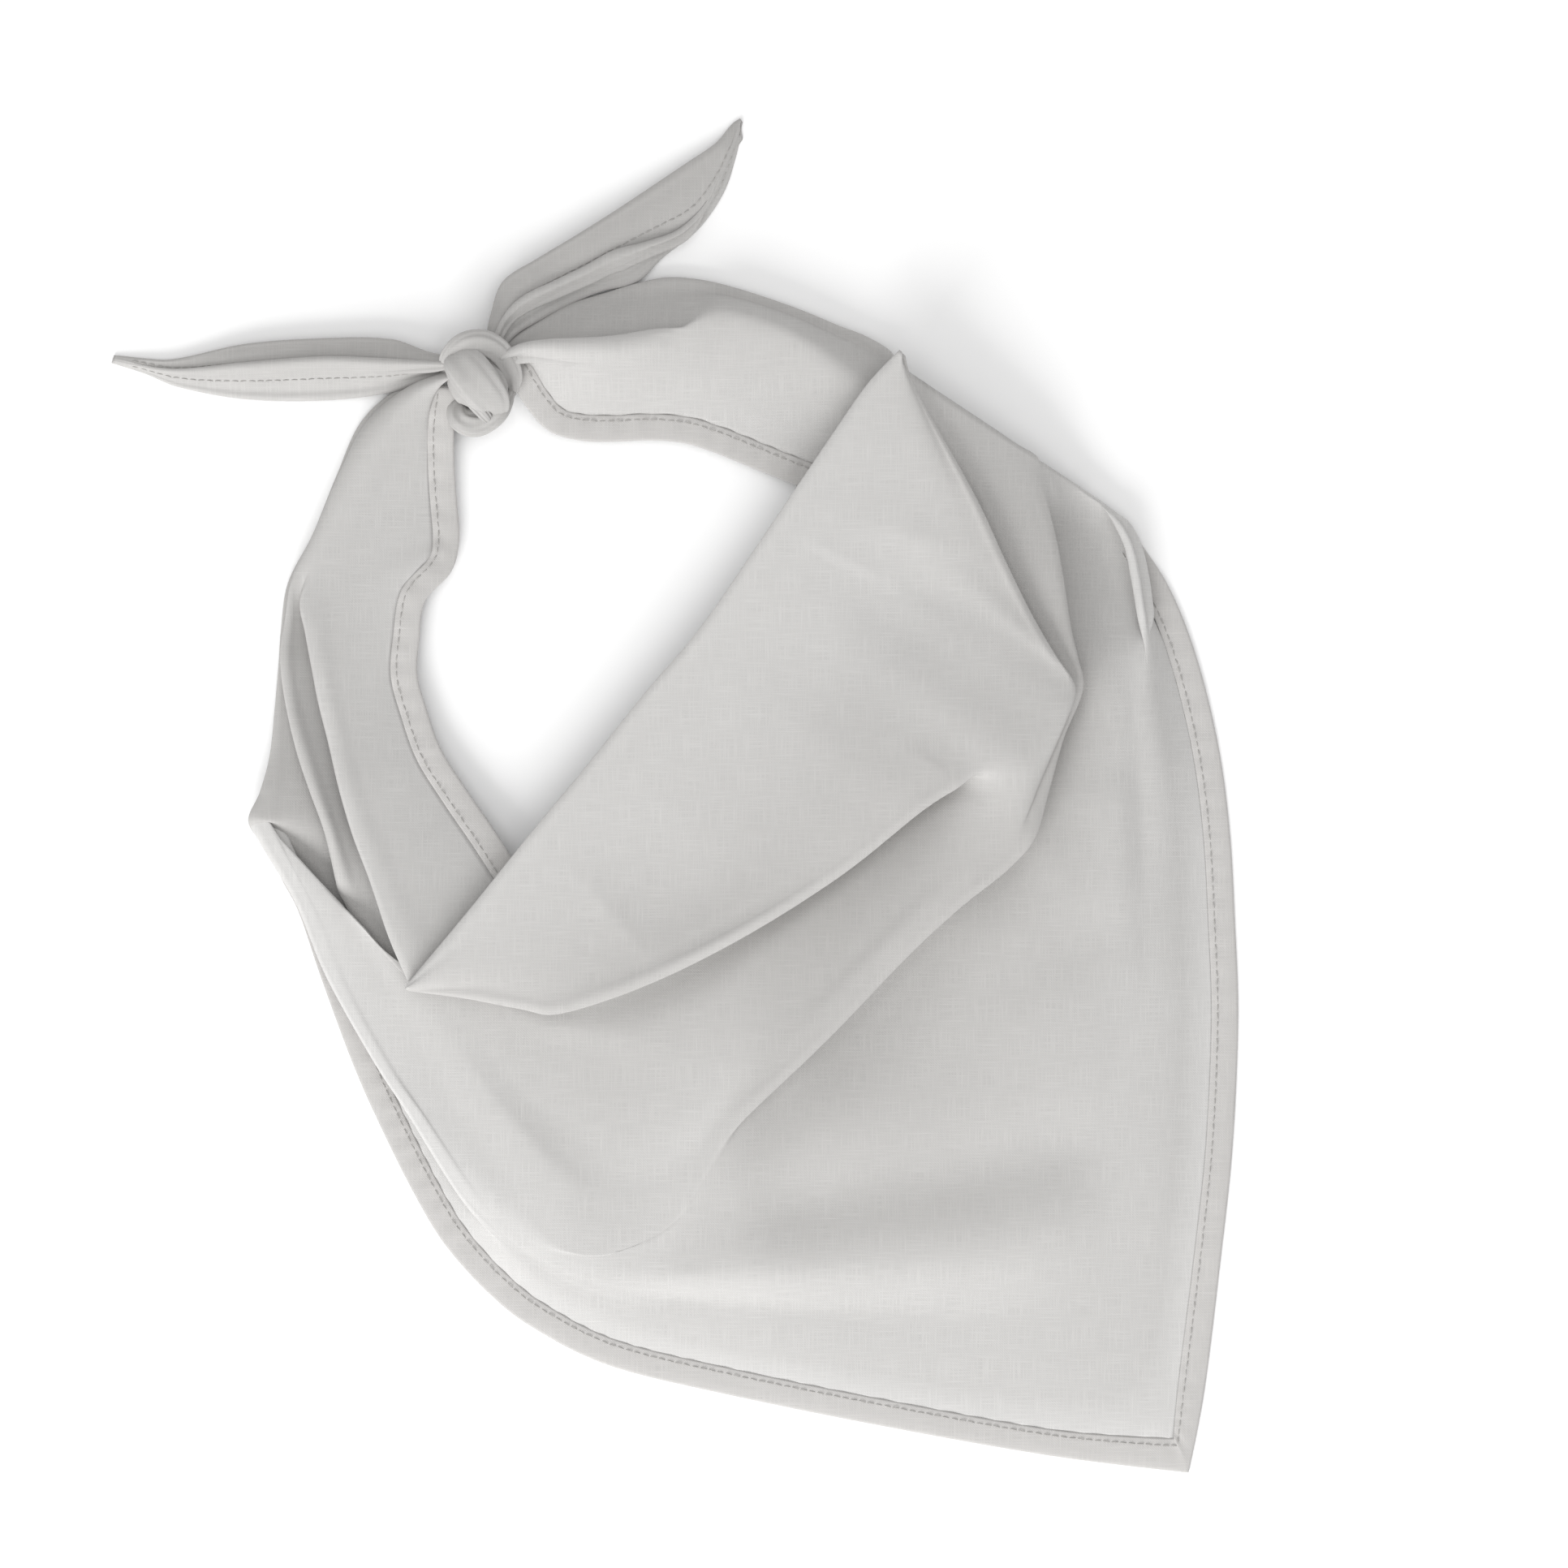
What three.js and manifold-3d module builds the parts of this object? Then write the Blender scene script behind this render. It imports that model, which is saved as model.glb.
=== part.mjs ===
// Neckerchief: a plain triangular cloth, tied with a small knot and laid flat on its back.
// Millimetres. +X is the right of the laid cloth, +Y its knotted end, +Z up from the table.
import * as THREE from "three";
import { mergeVertices } from "three/addons/utils/BufferGeometryUtils.js";
import Module from "manifold-3d";

// Driving dimensions
const SPREAD_WIDTH = 383; // from the left tail's end to the right edge
const SPREAD_LENGTH = 460; // from the tip of the triangle to the right tail's end
const DRAPE_HEIGHT = 36; // from the table to the crown of the upper fold
const CLOTH_WALL = 1.2;
const HEM_WALL = 2;
const HEM_WIDTH = 8;
const FOLD_DEPTH = 9; // how far a full fold stands above the layer that it covers
const FOLD_TUCK = 7; // how far the covered layer runs back under a fold
const FOLD_RADIUS = 1.5; // of the cloth's turn at a fold
const LIP = 7; // cloth turned under along a folded border
const FOLD_ROUNDING = 1.2; // how far back a turn begins, as a share of its radius
const ROOM_FOR_TURN = 0.2; // shares of the room beside a fold that its turn and its tuck may take
const ROOM_FOR_TUCK = 0.45;
const SKIRT_DROP = 0.5; // share of its height that a border keeps where it turns down
const SKIRT_INSET = 2;
const CLEARANCE = 0.4; // between neighbouring pieces
const KNOT_WIDTH = 24;
const KNOT_LENGTH = 31;
const KNOT_HEIGHT = 27;
const KNOT_ACROSS = 32.8; // hundredths of the spread's width
const KNOT_ALONG = 80.3; // hundredths of the spread's length
const KNOT_CORE = { across: 0.85, up: 0.72, centre: 0.38 }; // shares of the knot's width and height
const KNOT_FRONT = { across: 0.62, up: 0.3 };
const KNOT_TOP = { across: 0.4, up: 0.34 };
const STRAND_ENDS = 0.6; // a knot strand's size at its ends, as a share of that at its middle
const CLOTH_COLOUR = 0xd6d4d0;

// Stations along each sheet, and the points across one cell between two rails
const DRAPE_STATIONS = 32;
const BAND_STATIONS = 14;
const TAIL_STATIONS = 10;
const TIP_STATION = 18;
const CELL_POINTS = 2;
const CORE_SEGMENTS = [14, 9];
const STRAND_RINGS = 8;
const STRAND_SIDES = 8;
const LOOK_BESIDE = 0.05; // stations, for a rail's direction

// Columns: station, across (hundredths of the width), along (hundredths of the length),
// height (hundredths of the drape's height), fold (hundredths of the fold's depth, negative
// where the outer layer lies on top), crown (hundredths of the height, of the cell that follows)
function rail(...rows) {
  return rows.map(([station, across, along, height, fold = 0, crown = 0]) => ({
    station, across, along, height, fold, crown,
  }));
}

const COWL_EDGE = rail(
  [0, 26.5, 36, 76, 0, 2],
  [5, 33, 42, 74, 0, 12],
  [10, 39.5, 49, 72, 0, 22],
  [16, 48.5, 58, 72, 0, 28],
  [22, 57, 67.5, 72, 0, 26],
  [28, 64.5, 76.5, 74, 0, 12],
  [32, 69.5, 82, 76, 0, 2],
);
const UPPER_FOLD = rail(
  [0, 27.5, 35, 68, 150, 0],
  [3, 31.5, 35, 64, 120, 2],
  [7, 39.5, 34, 60, 100, 6],
  [10, 45.5, 35, 60, 100, 8],
  [14, 54, 38.5, 62, 100, 8],
  [17, 63.5, 43, 64, 100, 8],
  [20, 70, 48, 64, 80, 8],
  [22, 75, 50.5, 60, 30, 6],
  [24, 79.5, 52, 58, 0, 3],
  [26, 85, 57.5, 62, 60, 0],
  [28, 82.5, 61.5, 70, 95, 0],
  [30, 78.5, 68.5, 76, 100, 2],
  [31, 75, 75, 76, 80, 2],
  [32, 72, 79.5, 72, 30, 1],
);
const LOWER_FOLD = rail(
  [0, 22, 41, 10, 0, 0],
  [4, 27.5, 33.5, 24, 0, 0],
  [8, 36.5, 22, 24, 0, 0],
  [11, 44.5, 15.5, 20, 0, 2],
  [13, 50.5, 19, 30, 40, 2],
  [16, 57, 26.5, 40, 90, 3],
  [19, 66.5, 34, 46, 100, 4],
  [21, 76, 42, 48, 100, 4],
  [23, 81, 46, 48, 100, 4],
  [25, 84, 52.5, 48, 100, 3],
  [26, 86.5, 57.5, 47, 90, 2],
  [28, 85, 62.5, 45, 65, 2],
  [30, 84, 69, 40, 50, 1],
  [32, 81, 75.5, 30, 0, 0],
);
const SIDE_FOLD = rail(
  [0, 13, 47.5, 12, 20, 0],
  [2, 15.5, 44, 26, 50, 0],
  [4, 17.5, 40.5, 28, 60, 0],
  [8, 24.5, 29, 25, 60, 0],
  [11, 30, 21.5, 20, 50, 0],
  [13, 38, 15, 12, 0, 0],
  [16, 56, 10.5, 8, 0, 0],
  [18, 85, 12, 6, 0, 0],
  [21, 92, 25, 12, 0, 0],
  [24, 93, 46, 16, 0, 0],
  [26, 92, 56, 20, 0, 0],
  [28, 90.5, 62.5, 30, -50, 0],
  [30, 89.5, 66.5, 34, -80, 0],
  [32, 85.5, 73, 24, 0, 0],
);
const HEM_EDGE = rail(
  [0, 12.5, 46, 4],
  [2, 15, 42.5, 2],
  [4, 18, 37.5, 0],
  [6, 21, 30, 0],
  [8, 24, 24, 0],
  [10, 29, 17, 0],
  [12, 37, 11, 0],
  [14, 46, 8, 0],
  [16, 66, 4, 0],
  [18, 95.5, 0, 0],
  [20, 98.5, 14, 0],
  [22, 100, 32.5, 0],
  [24, 99.5, 46.5, 0],
  [26, 98, 55.5, 0],
  [28, 95.5, 62.5, 0],
  [30, 92, 68, 2],
  [32, 87, 72.5, 8],
);
const BAND_LEFT_NECK = rail(
  [0, 32, 79.5, 24],
  [1, 31, 77.5, 20],
  [3, 30.5, 73, 14],
  [5, 31, 69, 12],
  [6, 30, 66, 12],
  [7, 27.5, 63.5, 12],
  [9, 27.5, 57.5, 12],
  [11, 30, 52, 14],
  [13, 34, 47, 20],
  [14, 36.5, 44.5, 22],
);
const BAND_LEFT_FOLD = rail(
  [0, 31.5, 80.5, 34, 0, 0],
  [1, 28, 79, 40, 0, 0],
  [3, 23.5, 73, 40, 0, 0],
  [5, 20, 68, 38, 0, 0],
  [6, 17.5, 64.5, 38, 20, 0],
  [8, 18, 60, 40, 70, 0],
  [10, 20, 53, 46, 75, 0],
  [12, 23, 44, 54, 75, 0],
  [14, 27, 37.5, 63, 70, 0],
);
const BAND_LEFT_PLEAT = rail(
  [0, 31, 81, 26, 0, 0],
  [1, 26.5, 79.5, 28, 0, 0],
  [3, 21.5, 75, 26, 0, 0],
  [6, 16.2, 65.3, 24, 0, 0],
  [8, 15.8, 59, 28, 50, 0],
  [10, 17, 53, 34, 60, 0],
  [12, 19.5, 47, 38, 60, 0],
  [14, 21.5, 42, 38, 40, 0],
);
const BAND_LEFT_SIDE = rail(
  [0, 30.5, 81.5, 20],
  [1, 26, 80, 12],
  [3, 20.5, 75.5, 8],
  [6, 15, 65, 8],
  [8, 14.8, 59, 14],
  [10, 14.3, 53.5, 24],
  [12, 12.5, 48.5, 26],
  [13, 15, 46.8, 26],
  [14, 19, 44.5, 26],
);
const BAND_RIGHT_NECK = rail(
  [0, 33.5, 79.5, 26],
  [1, 36, 79.5, 22],
  [3, 38.5, 77.3, 14],
  [5, 42, 76.2, 12],
  [8, 50, 76, 12],
  [11, 57.5, 74, 14],
  [13, 62, 72, 20],
  [14, 64, 70.5, 24],
);
const BAND_RIGHT_CREST = rail(
  [0, 34, 81, 40, 30, 0],
  [1, 37, 82.5, 54, 60, 0],
  [3, 41, 83.5, 58, 60, 0],
  [6, 46.5, 84, 54, 50, 0],
  [9, 53, 85, 46, 20, 0],
  [11, 59, 83, 48, 0, 0],
  [14, 67, 77.5, 61, 0, 0],
);
const BAND_RIGHT_TOP = rail(
  [0, 34, 82.5, 26],
  [1, 36.5, 84.2, 20],
  [3, 40.5, 86.5, 16],
  [5, 45, 87.5, 14],
  [7, 49.5, 88, 14],
  [9, 55, 87.5, 14],
  [12, 64.5, 84.3, 16],
  [14, 68, 82, 16],
);
const TAIL_RIGHT_UPPER = rail(
  [0, 33, 83, 30],
  [2, 36, 88.5, 30],
  [5, 43.5, 92.5, 24],
  [8, 52, 97.5, 12],
  [10, 55.5, 100, 4],
);
const TAIL_RIGHT_FOLD = rail(
  [0, 33.5, 82, 36, 20, 0],
  [2, 38, 87, 34, 50, 0],
  [5, 45, 90.5, 28, 55, 0],
  [8, 52, 94.5, 18, 30, 0],
  [10, 55.6, 99.5, 4, 0, 0],
);
const TAIL_RIGHT_LOWER = rail(
  [0, 34, 81, 34],
  [2, 40, 86, 24],
  [5, 47.5, 89, 16],
  [8, 53.5, 93.5, 8],
  [10, 55.8, 98.5, 4],
);
const TAIL_LEFT_UPPER = rail(
  [0, 32, 82, 26],
  [2, 25.5, 83.5, 20],
  [5, 15.5, 83.5, 16],
  [8, 5, 82.5, 8],
  [10, 0.5, 82.5, 4],
);
const TAIL_LEFT_FOLD = rail(
  [0, 32, 81.2, 34, 20, 0],
  [2, 25, 81.5, 34, 50, 0],
  [5, 15.5, 81.5, 30, 50, 0],
  [8, 5, 81.8, 16, 20, 0],
  [10, 0.3, 82.2, 4, 0, 0],
);
const TAIL_LEFT_LOWER = rail(
  [0, 32, 80.3, 26],
  [2, 26, 79.8, 18],
  [5, 16, 79, 12],
  [8, 6, 80.5, 6],
  [10, 0, 81.8, 4],
);
// Columns: across, along (hundredths of the spread), height (hundredths of the knot's height)
const KNOT_FRONT_BAND = [
  [30.9, 81.6, 30], [31.4, 81.3, 76], [32.6, 79.8, 84], [33.5, 78.4, 76], [33.8, 78.2, 34],
];
const KNOT_TOP_WRAP = [
  [31.2, 81.8, 30], [31.7, 83, 62], [33.2, 83.3, 70], [34.5, 82.4, 62], [34.5, 81.4, 34],
];

const wasm = await Module();
wasm.setup();

function mix(a, b, share) {
  return a + (b - a) * share;
}

// A smooth curve through the rows, with a corner where the rail is told to turn sharply
function valueAt(rows, column, station, corner) {
  const last = rows.length - 1;
  let k = 0;
  while (k < last - 1 && rows[k + 1].station <= station) k += 1;
  const [a, b] = [rows[k], rows[k + 1]];
  const span = b.station - a.station;
  const slope = (i) => {
    const [before, after] = [rows[Math.max(i - 1, 0)], rows[Math.min(i + 1, last)]];
    if (rows[i].station === corner) return 0;
    return (after[column] - before[column]) / (after.station - before.station);
  };
  const t = (station - a.station) / span;
  const [t2, t3] = [t * t, t * t * t];
  return (2 * t3 - 3 * t2 + 1) * a[column] + (t3 - 2 * t2 + t) * span * slope(k)
    + (3 * t2 - 2 * t3) * b[column] + (t3 - t2) * span * slope(k + 1);
}

// The place of a rail at a station, its outward direction seen from above, and its fold
function placeOn(rows, station, wall, corner) {
  const at = (column, s) => valueAt(rows, column, s, corner);
  const start = Math.max(station - LOOK_BESIDE, 0);
  const end = Math.min(station + LOOK_BESIDE, rows[rows.length - 1].station);
  const dx = (at("across", end) - at("across", start)) * SPREAD_WIDTH;
  const dy = (at("along", end) - at("along", start)) * SPREAD_LENGTH;
  const length = Math.hypot(dx, dy) || 1;
  return {
    x: at("across", station) * SPREAD_WIDTH / 100,
    y: at("along", station) * SPREAD_LENGTH / 100,
    z: wall / 2 + Math.max(at("height", station), 0) * (DRAPE_HEIGHT - wall) / 100,
    floor: wall / 2,
    outX: dy / length,
    outY: -dx / length,
    fold: at("fold", station) / 100,
    crown: at("crown", station) * DRAPE_HEIGHT / 100,
  };
}

function beside(place, side, distance, drop) {
  const x = place.x + side * place.outX * distance;
  const y = place.y + side * place.outY * distance;
  return new THREE.Vector3(x, y, Math.max(place.z - drop, place.floor));
}

// The cloth's turn at a fold: over the ridge, back under it, and out again on the lower layer
function foldPoints(place, side, radius) {
  const share = Math.min(Math.abs(place.fold), 1);
  const depth = Math.abs(place.fold) * FOLD_DEPTH;
  const reach = Math.min(FOLD_ROUNDING * radius, ROOM_FOR_TURN * place.room);
  const tuck = Math.min(FOLD_TUCK, ROOM_FOR_TUCK * place.room);
  const turned = [
    [-reach, 0], [0, radius], [-reach, 2 * radius], [-tuck, radius + depth / 2], [reach - tuck, depth],
  ];
  const flat = [-2, -1, 0, 1, 2].map((k) => k * reach);
  const way = place.fold < 0 ? -side : side;
  const points = turned.map(([distance, drop], k) => (
    beside(place, way, mix(flat[k], distance, share), mix(0, drop, share))));
  return place.fold < 0 ? points.reverse() : points;
}

function borderPoints(place, side, radius) {
  const reach = Math.min(FOLD_ROUNDING * radius, ROOM_FOR_TURN * place.room);
  const lip = Math.min(LIP, ROOM_FOR_TUCK * place.room);
  return [
    beside(place, side, -reach, 0), beside(place, side, 0, radius),
    beside(place, side, -reach, 2 * radius), beside(place, side, -lip, 2 * radius),
  ];
}

// One section of a sheet, from its first rail to its last
function sectionOf(sheet, station, wall) {
  const { rails, side = 1, corner, turnedFirst, turnedLast } = sheet;
  const places = rails.map((rows) => placeOn(rows, station, wall, corner));
  const gaps = places.slice(1).map((place, k) => Math.hypot(place.x - places[k].x, place.y - places[k].y));
  places.forEach((place, k) => {
    place.room = Math.min(gaps[Math.max(k - 1, 0)], gaps[Math.min(k, gaps.length - 1)]);
  });
  const groups = places.map((place, k) => {
    if (k === 0 && turnedFirst) return borderPoints(place, -side, FOLD_RADIUS).reverse();
    if (k === rails.length - 1 && turnedLast) return borderPoints(place, side, FOLD_RADIUS);
    if (k === 0 || k === rails.length - 1) return [beside(place, side, 0, 0)];
    return foldPoints(place, side, FOLD_RADIUS);
  });
  const section = [...groups[0]];
  for (let k = 1; k < groups.length; k += 1) {
    const [from, to] = [section[section.length - 1], groups[k][0]];
    for (let i = 1; i <= CELL_POINTS; i += 1) {
      const t = i / (CELL_POINTS + 1);
      const point = from.clone().lerp(to, t);
      point.z += 4 * t * (1 - t) * places[k - 1].crown;
      section.push(point);
    }
    section.push(...groups[k]);
  }
  return section;
}

function skirtOf(section, inner) {
  return section.map((point, k) => {
    const back = new THREE.Vector3(inner[k].x - point.x, inner[k].y - point.y, 0);
    const lowered = point.clone().addScaledVector(back.normalize(), SKIRT_INSET);
    lowered.z *= SKIRT_DROP;
    return lowered;
  });
}

function normalsOf(grid) {
  const [rows, columns] = [grid.length, grid[0].length];
  return grid.map((row, i) => row.map((_, j) => {
    const along = grid[Math.min(i + 1, rows - 1)][j].clone().sub(grid[Math.max(i - 1, 0)][j]);
    const across = grid[i][Math.min(j + 1, columns - 1)].clone().sub(grid[i][Math.max(j - 1, 0)]);
    return across.cross(along).normalize();
  }));
}

// The grid with its borders moved out by a little, used where a neighbour has to stay clear of it
function widened(grid, grow) {
  const beyond = (point, inner) => (
    point.clone().addScaledVector(point.clone().sub(inner).normalize(), grow));
  const rows = grid.map((row) => {
    const last = row.length - 1;
    return row.map((point, j) => {
      if (j === 0) return beyond(point, row[1]);
      return j === last ? beyond(point, row[last - 1]) : point;
    });
  });
  const last = rows.length - 1;
  rows[0] = rows[0].map((point, j) => beyond(point, rows[1][j]));
  rows[last] = rows[last].map((point, j) => beyond(point, rows[last - 1][j]));
  return rows;
}

// A closed shell of the wall's thickness about a grid of points
function shellOf(grid, wall, side) {
  const [rows, columns] = [grid.length, grid[0].length];
  const normals = normalsOf(grid);
  const vertices = [];
  for (const way of [0.5, -0.5]) {
    grid.forEach((row, i) => row.forEach((point, j) => {
      vertices.push(...point.clone().addScaledVector(normals[i][j], side * way * wall));
    }));
  }
  const triangles = [];
  const quad = (a, b, c, d) => {
    triangles.push(...(side > 0 ? [a, b, c, a, c, d] : [c, b, a, d, c, a]));
  };
  const upper = (i, j) => i * columns + j;
  const lower = (i, j) => rows * columns + upper(i, j);
  for (let i = 0; i < rows - 1; i += 1) {
    for (let j = 0; j < columns - 1; j += 1) {
      quad(upper(i, j), upper(i, j + 1), upper(i + 1, j + 1), upper(i + 1, j));
      quad(lower(i, j), lower(i + 1, j), lower(i + 1, j + 1), lower(i, j + 1));
    }
    quad(upper(i, 0), upper(i + 1, 0), lower(i + 1, 0), lower(i, 0));
    quad(upper(i + 1, columns - 1), upper(i, columns - 1), lower(i, columns - 1),
      lower(i + 1, columns - 1));
  }
  for (let j = 0; j < columns - 1; j += 1) {
    quad(upper(0, j + 1), upper(0, j), lower(0, j), lower(0, j + 1));
    quad(upper(rows - 1, j), upper(rows - 1, j + 1), lower(rows - 1, j + 1), lower(rows - 1, j));
  }
  return solidFrom(vertices, triangles);
}

function solidFrom(vertices, triangles) {
  return new wasm.Manifold(new wasm.Mesh({
    numProp: 3,
    vertProperties: new Float32Array(vertices),
    triVerts: new Uint32Array(triangles),
  }));
}

// A closed geometry, with its shared vertices merged, as a solid
function solidOf(geometry) {
  const bare = geometry.clone().deleteAttribute("normal").deleteAttribute("uv");
  const merged = mergeVertices(bare, 1e-4);
  return solidFrom(merged.attributes.position.array, merged.index.array);
}

// A rail that runs beside another, a set distance inside it
function insetRail(rows, distance, side, corner) {
  return rows.map((row) => {
    const place = placeOn(rows, row.station, 0, undefined);
    const miter = row.station === corner ? Math.SQRT2 : 1;
    return {
      ...row,
      across: row.across - side * place.outX * distance * miter * 100 / SPREAD_WIDTH,
      along: row.along - side * place.outY * distance * miter * 100 / SPREAD_LENGTH,
    };
  });
}

function sheetOf(sheet, grow = 0) {
  const { stations, skirtFirst, skirtLast, side = 1 } = sheet;
  const grid = [];
  for (let station = 0; station <= stations; station += 1) {
    grid.push(sectionOf(sheet, station, CLOTH_WALL));
  }
  if (skirtFirst) grid.unshift(skirtOf(grid[0], grid[1]));
  if (skirtLast) grid.push(skirtOf(grid[grid.length - 1], grid[grid.length - 2]));
  return shellOf(grow ? widened(grid, grow) : grid, CLOTH_WALL + 2 * grow, side);
}

function stripOf(edge, side, stations, corner, grow = 0) {
  const inner = insetRail(edge, HEM_WIDTH, side, corner);
  const grid = [];
  for (let station = 0; station <= stations; station += 1) {
    const line = [inner, edge].map((rows) => placeOn(rows, station, HEM_WALL, corner));
    grid.push(line.map((place) => new THREE.Vector3(place.x, place.y, place.z)));
  }
  return shellOf(grow ? widened(grid, grow) : grid, HEM_WALL + 2 * grow, side);
}

// A rounded strand of cloth through a few points, used for the knot's turns
function strandOf(rows, width, thickness, grow) {
  const points = rows.map(([across, along, height]) => new THREE.Vector3(
    across * SPREAD_WIDTH / 100, along * SPREAD_LENGTH / 100, height * KNOT_HEIGHT / 100));
  const curve = new THREE.CatmullRomCurve3(points);
  const [rings, sides] = [STRAND_RINGS, STRAND_SIDES];
  const vertices = [];
  const caps = [];
  for (let i = 0; i <= rings; i += 1) {
    const way = curve.getTangent(i / rings);
    const end = i === 0 || i === rings;
    const centre = curve.getPoint(i / rings).addScaledVector(way, end ? (i / rings - 0.5) * grow : 0);
    const across = new THREE.Vector3(way.y, -way.x, 0).normalize();
    const up = across.clone().cross(way);
    const swell = mix(STRAND_ENDS, 1, Math.sin(Math.PI * i / rings));
    for (let k = 0; k < sides; k += 1) {
      const angle = 2 * Math.PI * k / sides;
      const point = centre.clone().addScaledVector(across, Math.cos(angle) * (width * swell + grow) / 2);
      vertices.push(...point.addScaledVector(up, Math.sin(angle) * (thickness * swell + grow) / 2));
    }
    if (end) caps.push(...centre);
  }
  vertices.push(...caps);
  const [first, last] = [(rings + 1) * sides, (rings + 1) * sides + 1];
  const triangles = [];
  for (let k = 0; k < sides; k += 1) {
    const next = (k + 1) % sides;
    triangles.push(first, k, next, last, rings * sides + next, rings * sides + k);
    for (let i = 0; i < rings; i += 1) {
      const [a, b] = [i * sides + k, i * sides + next];
      triangles.push(a, b + sides, b, a, a + sides, b + sides);
    }
  }
  return solidFrom(vertices, triangles);
}

function knotOf(grow) {
  const ball = new THREE.SphereGeometry(0.5, ...CORE_SEGMENTS);
  ball.scale(KNOT_WIDTH * KNOT_CORE.across + grow, KNOT_LENGTH + grow, KNOT_HEIGHT * KNOT_CORE.up + grow);
  ball.translate(KNOT_ACROSS * SPREAD_WIDTH / 100, KNOT_ALONG * SPREAD_LENGTH / 100,
    KNOT_HEIGHT * KNOT_CORE.centre);
  const core = solidOf(ball);
  const [front, top] = [[KNOT_FRONT_BAND, KNOT_FRONT], [KNOT_TOP_WRAP, KNOT_TOP]].map(([rows, share]) => (
    strandOf(rows, KNOT_WIDTH * share.across, KNOT_HEIGHT * share.up, grow)));
  return core.add(front).add(top);
}

// What is left of a piece clear of its neighbours, each of them given a little too large
function clearOf(solid, ...neighbours) {
  const cut = neighbours.reduce((rest, neighbour) => rest.subtract(neighbour), solid);
  return cut.decompose().sort((a, b) => b.volume() - a.volume())[0];
}

const outerSheet = {
  rails: [COWL_EDGE, UPPER_FOLD, LOWER_FOLD, SIDE_FOLD,
    insetRail(HEM_EDGE, HEM_WIDTH + CLEARANCE, 1, TIP_STATION)],
  stations: DRAPE_STATIONS, corner: TIP_STATION, turnedFirst: true, skirtFirst: true, skirtLast: true,
};
const leftBand = {
  rails: [insetRail(BAND_LEFT_NECK, HEM_WIDTH + CLEARANCE, -1), BAND_LEFT_FOLD, BAND_LEFT_PLEAT,
    BAND_LEFT_SIDE],
  stations: BAND_STATIONS, turnedLast: true,
};
const rightBand = {
  rails: [insetRail(BAND_RIGHT_NECK, HEM_WIDTH + CLEARANCE, 1), BAND_RIGHT_CREST, BAND_RIGHT_TOP],
  stations: BAND_STATIONS, side: -1, turnedLast: true,
};
const rightTail = {
  rails: [TAIL_RIGHT_LOWER, TAIL_RIGHT_FOLD, TAIL_RIGHT_UPPER],
  stations: TAIL_STATIONS, side: -1, turnedLast: true,
};
const leftTail = {
  rails: [TAIL_LEFT_LOWER, TAIL_LEFT_FOLD, TAIL_LEFT_UPPER],
  stations: TAIL_STATIONS, turnedLast: true,
};

const wideHem = stripOf(HEM_EDGE, 1, DRAPE_STATIONS, TIP_STATION, CLEARANCE);
const wideDrape = sheetOf(outerSheet, CLEARANCE);
const wideKnot = knotOf(2 * CLEARANCE);
const wideLeftHem = stripOf(BAND_LEFT_NECK, -1, BAND_STATIONS, undefined, CLEARANCE);
const wideRightHem = stripOf(BAND_RIGHT_NECK, 1, BAND_STATIONS, undefined, CLEARANCE);
const wideLeftBand = sheetOf(leftBand, CLEARANCE);
const wideRightBand = sheetOf(rightBand, CLEARANCE);

const solids = {
  drape: clearOf(sheetOf(outerSheet), wideHem),
  hem: stripOf(HEM_EDGE, 1, DRAPE_STATIONS, TIP_STATION),
  band_left: clearOf(sheetOf(leftBand), wideDrape, wideKnot, wideLeftHem),
  hem_neck_left: clearOf(stripOf(BAND_LEFT_NECK, -1, BAND_STATIONS), wideDrape, wideKnot),
  band_right: clearOf(sheetOf(rightBand), wideDrape, wideKnot, wideRightHem),
  hem_neck_right: clearOf(stripOf(BAND_RIGHT_NECK, 1, BAND_STATIONS), wideDrape, wideKnot),
  knot: knotOf(0),
  tail_right: clearOf(sheetOf(rightTail), wideKnot, wideRightBand),
  tail_left: clearOf(sheetOf(leftTail), wideKnot, wideLeftBand),
};

const part = new THREE.Group();
const laid = new THREE.Group();
part.add(laid);
for (const [name, solid] of Object.entries(solids)) {
  const made = solid.getMesh();
  const geometry = new THREE.BufferGeometry();
  geometry.setAttribute("position", new THREE.BufferAttribute(made.vertProperties, 3));
  geometry.setIndex(new THREE.BufferAttribute(made.triVerts, 1));
  const material = new THREE.MeshStandardMaterial({ color: CLOTH_COLOUR, roughness: 0.9, metalness: 0 });
  const mesh = new THREE.Mesh(geometry, material);
  mesh.name = name;
  laid.add(mesh);
}
const box = new THREE.Box3().setFromObject(laid);
const centre = box.getCenter(new THREE.Vector3());
laid.position.set(-centre.x, -centre.y, -box.min.z);

export default part;
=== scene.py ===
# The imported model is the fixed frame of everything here, and its box is measured before
# anything is added.
import math

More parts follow.
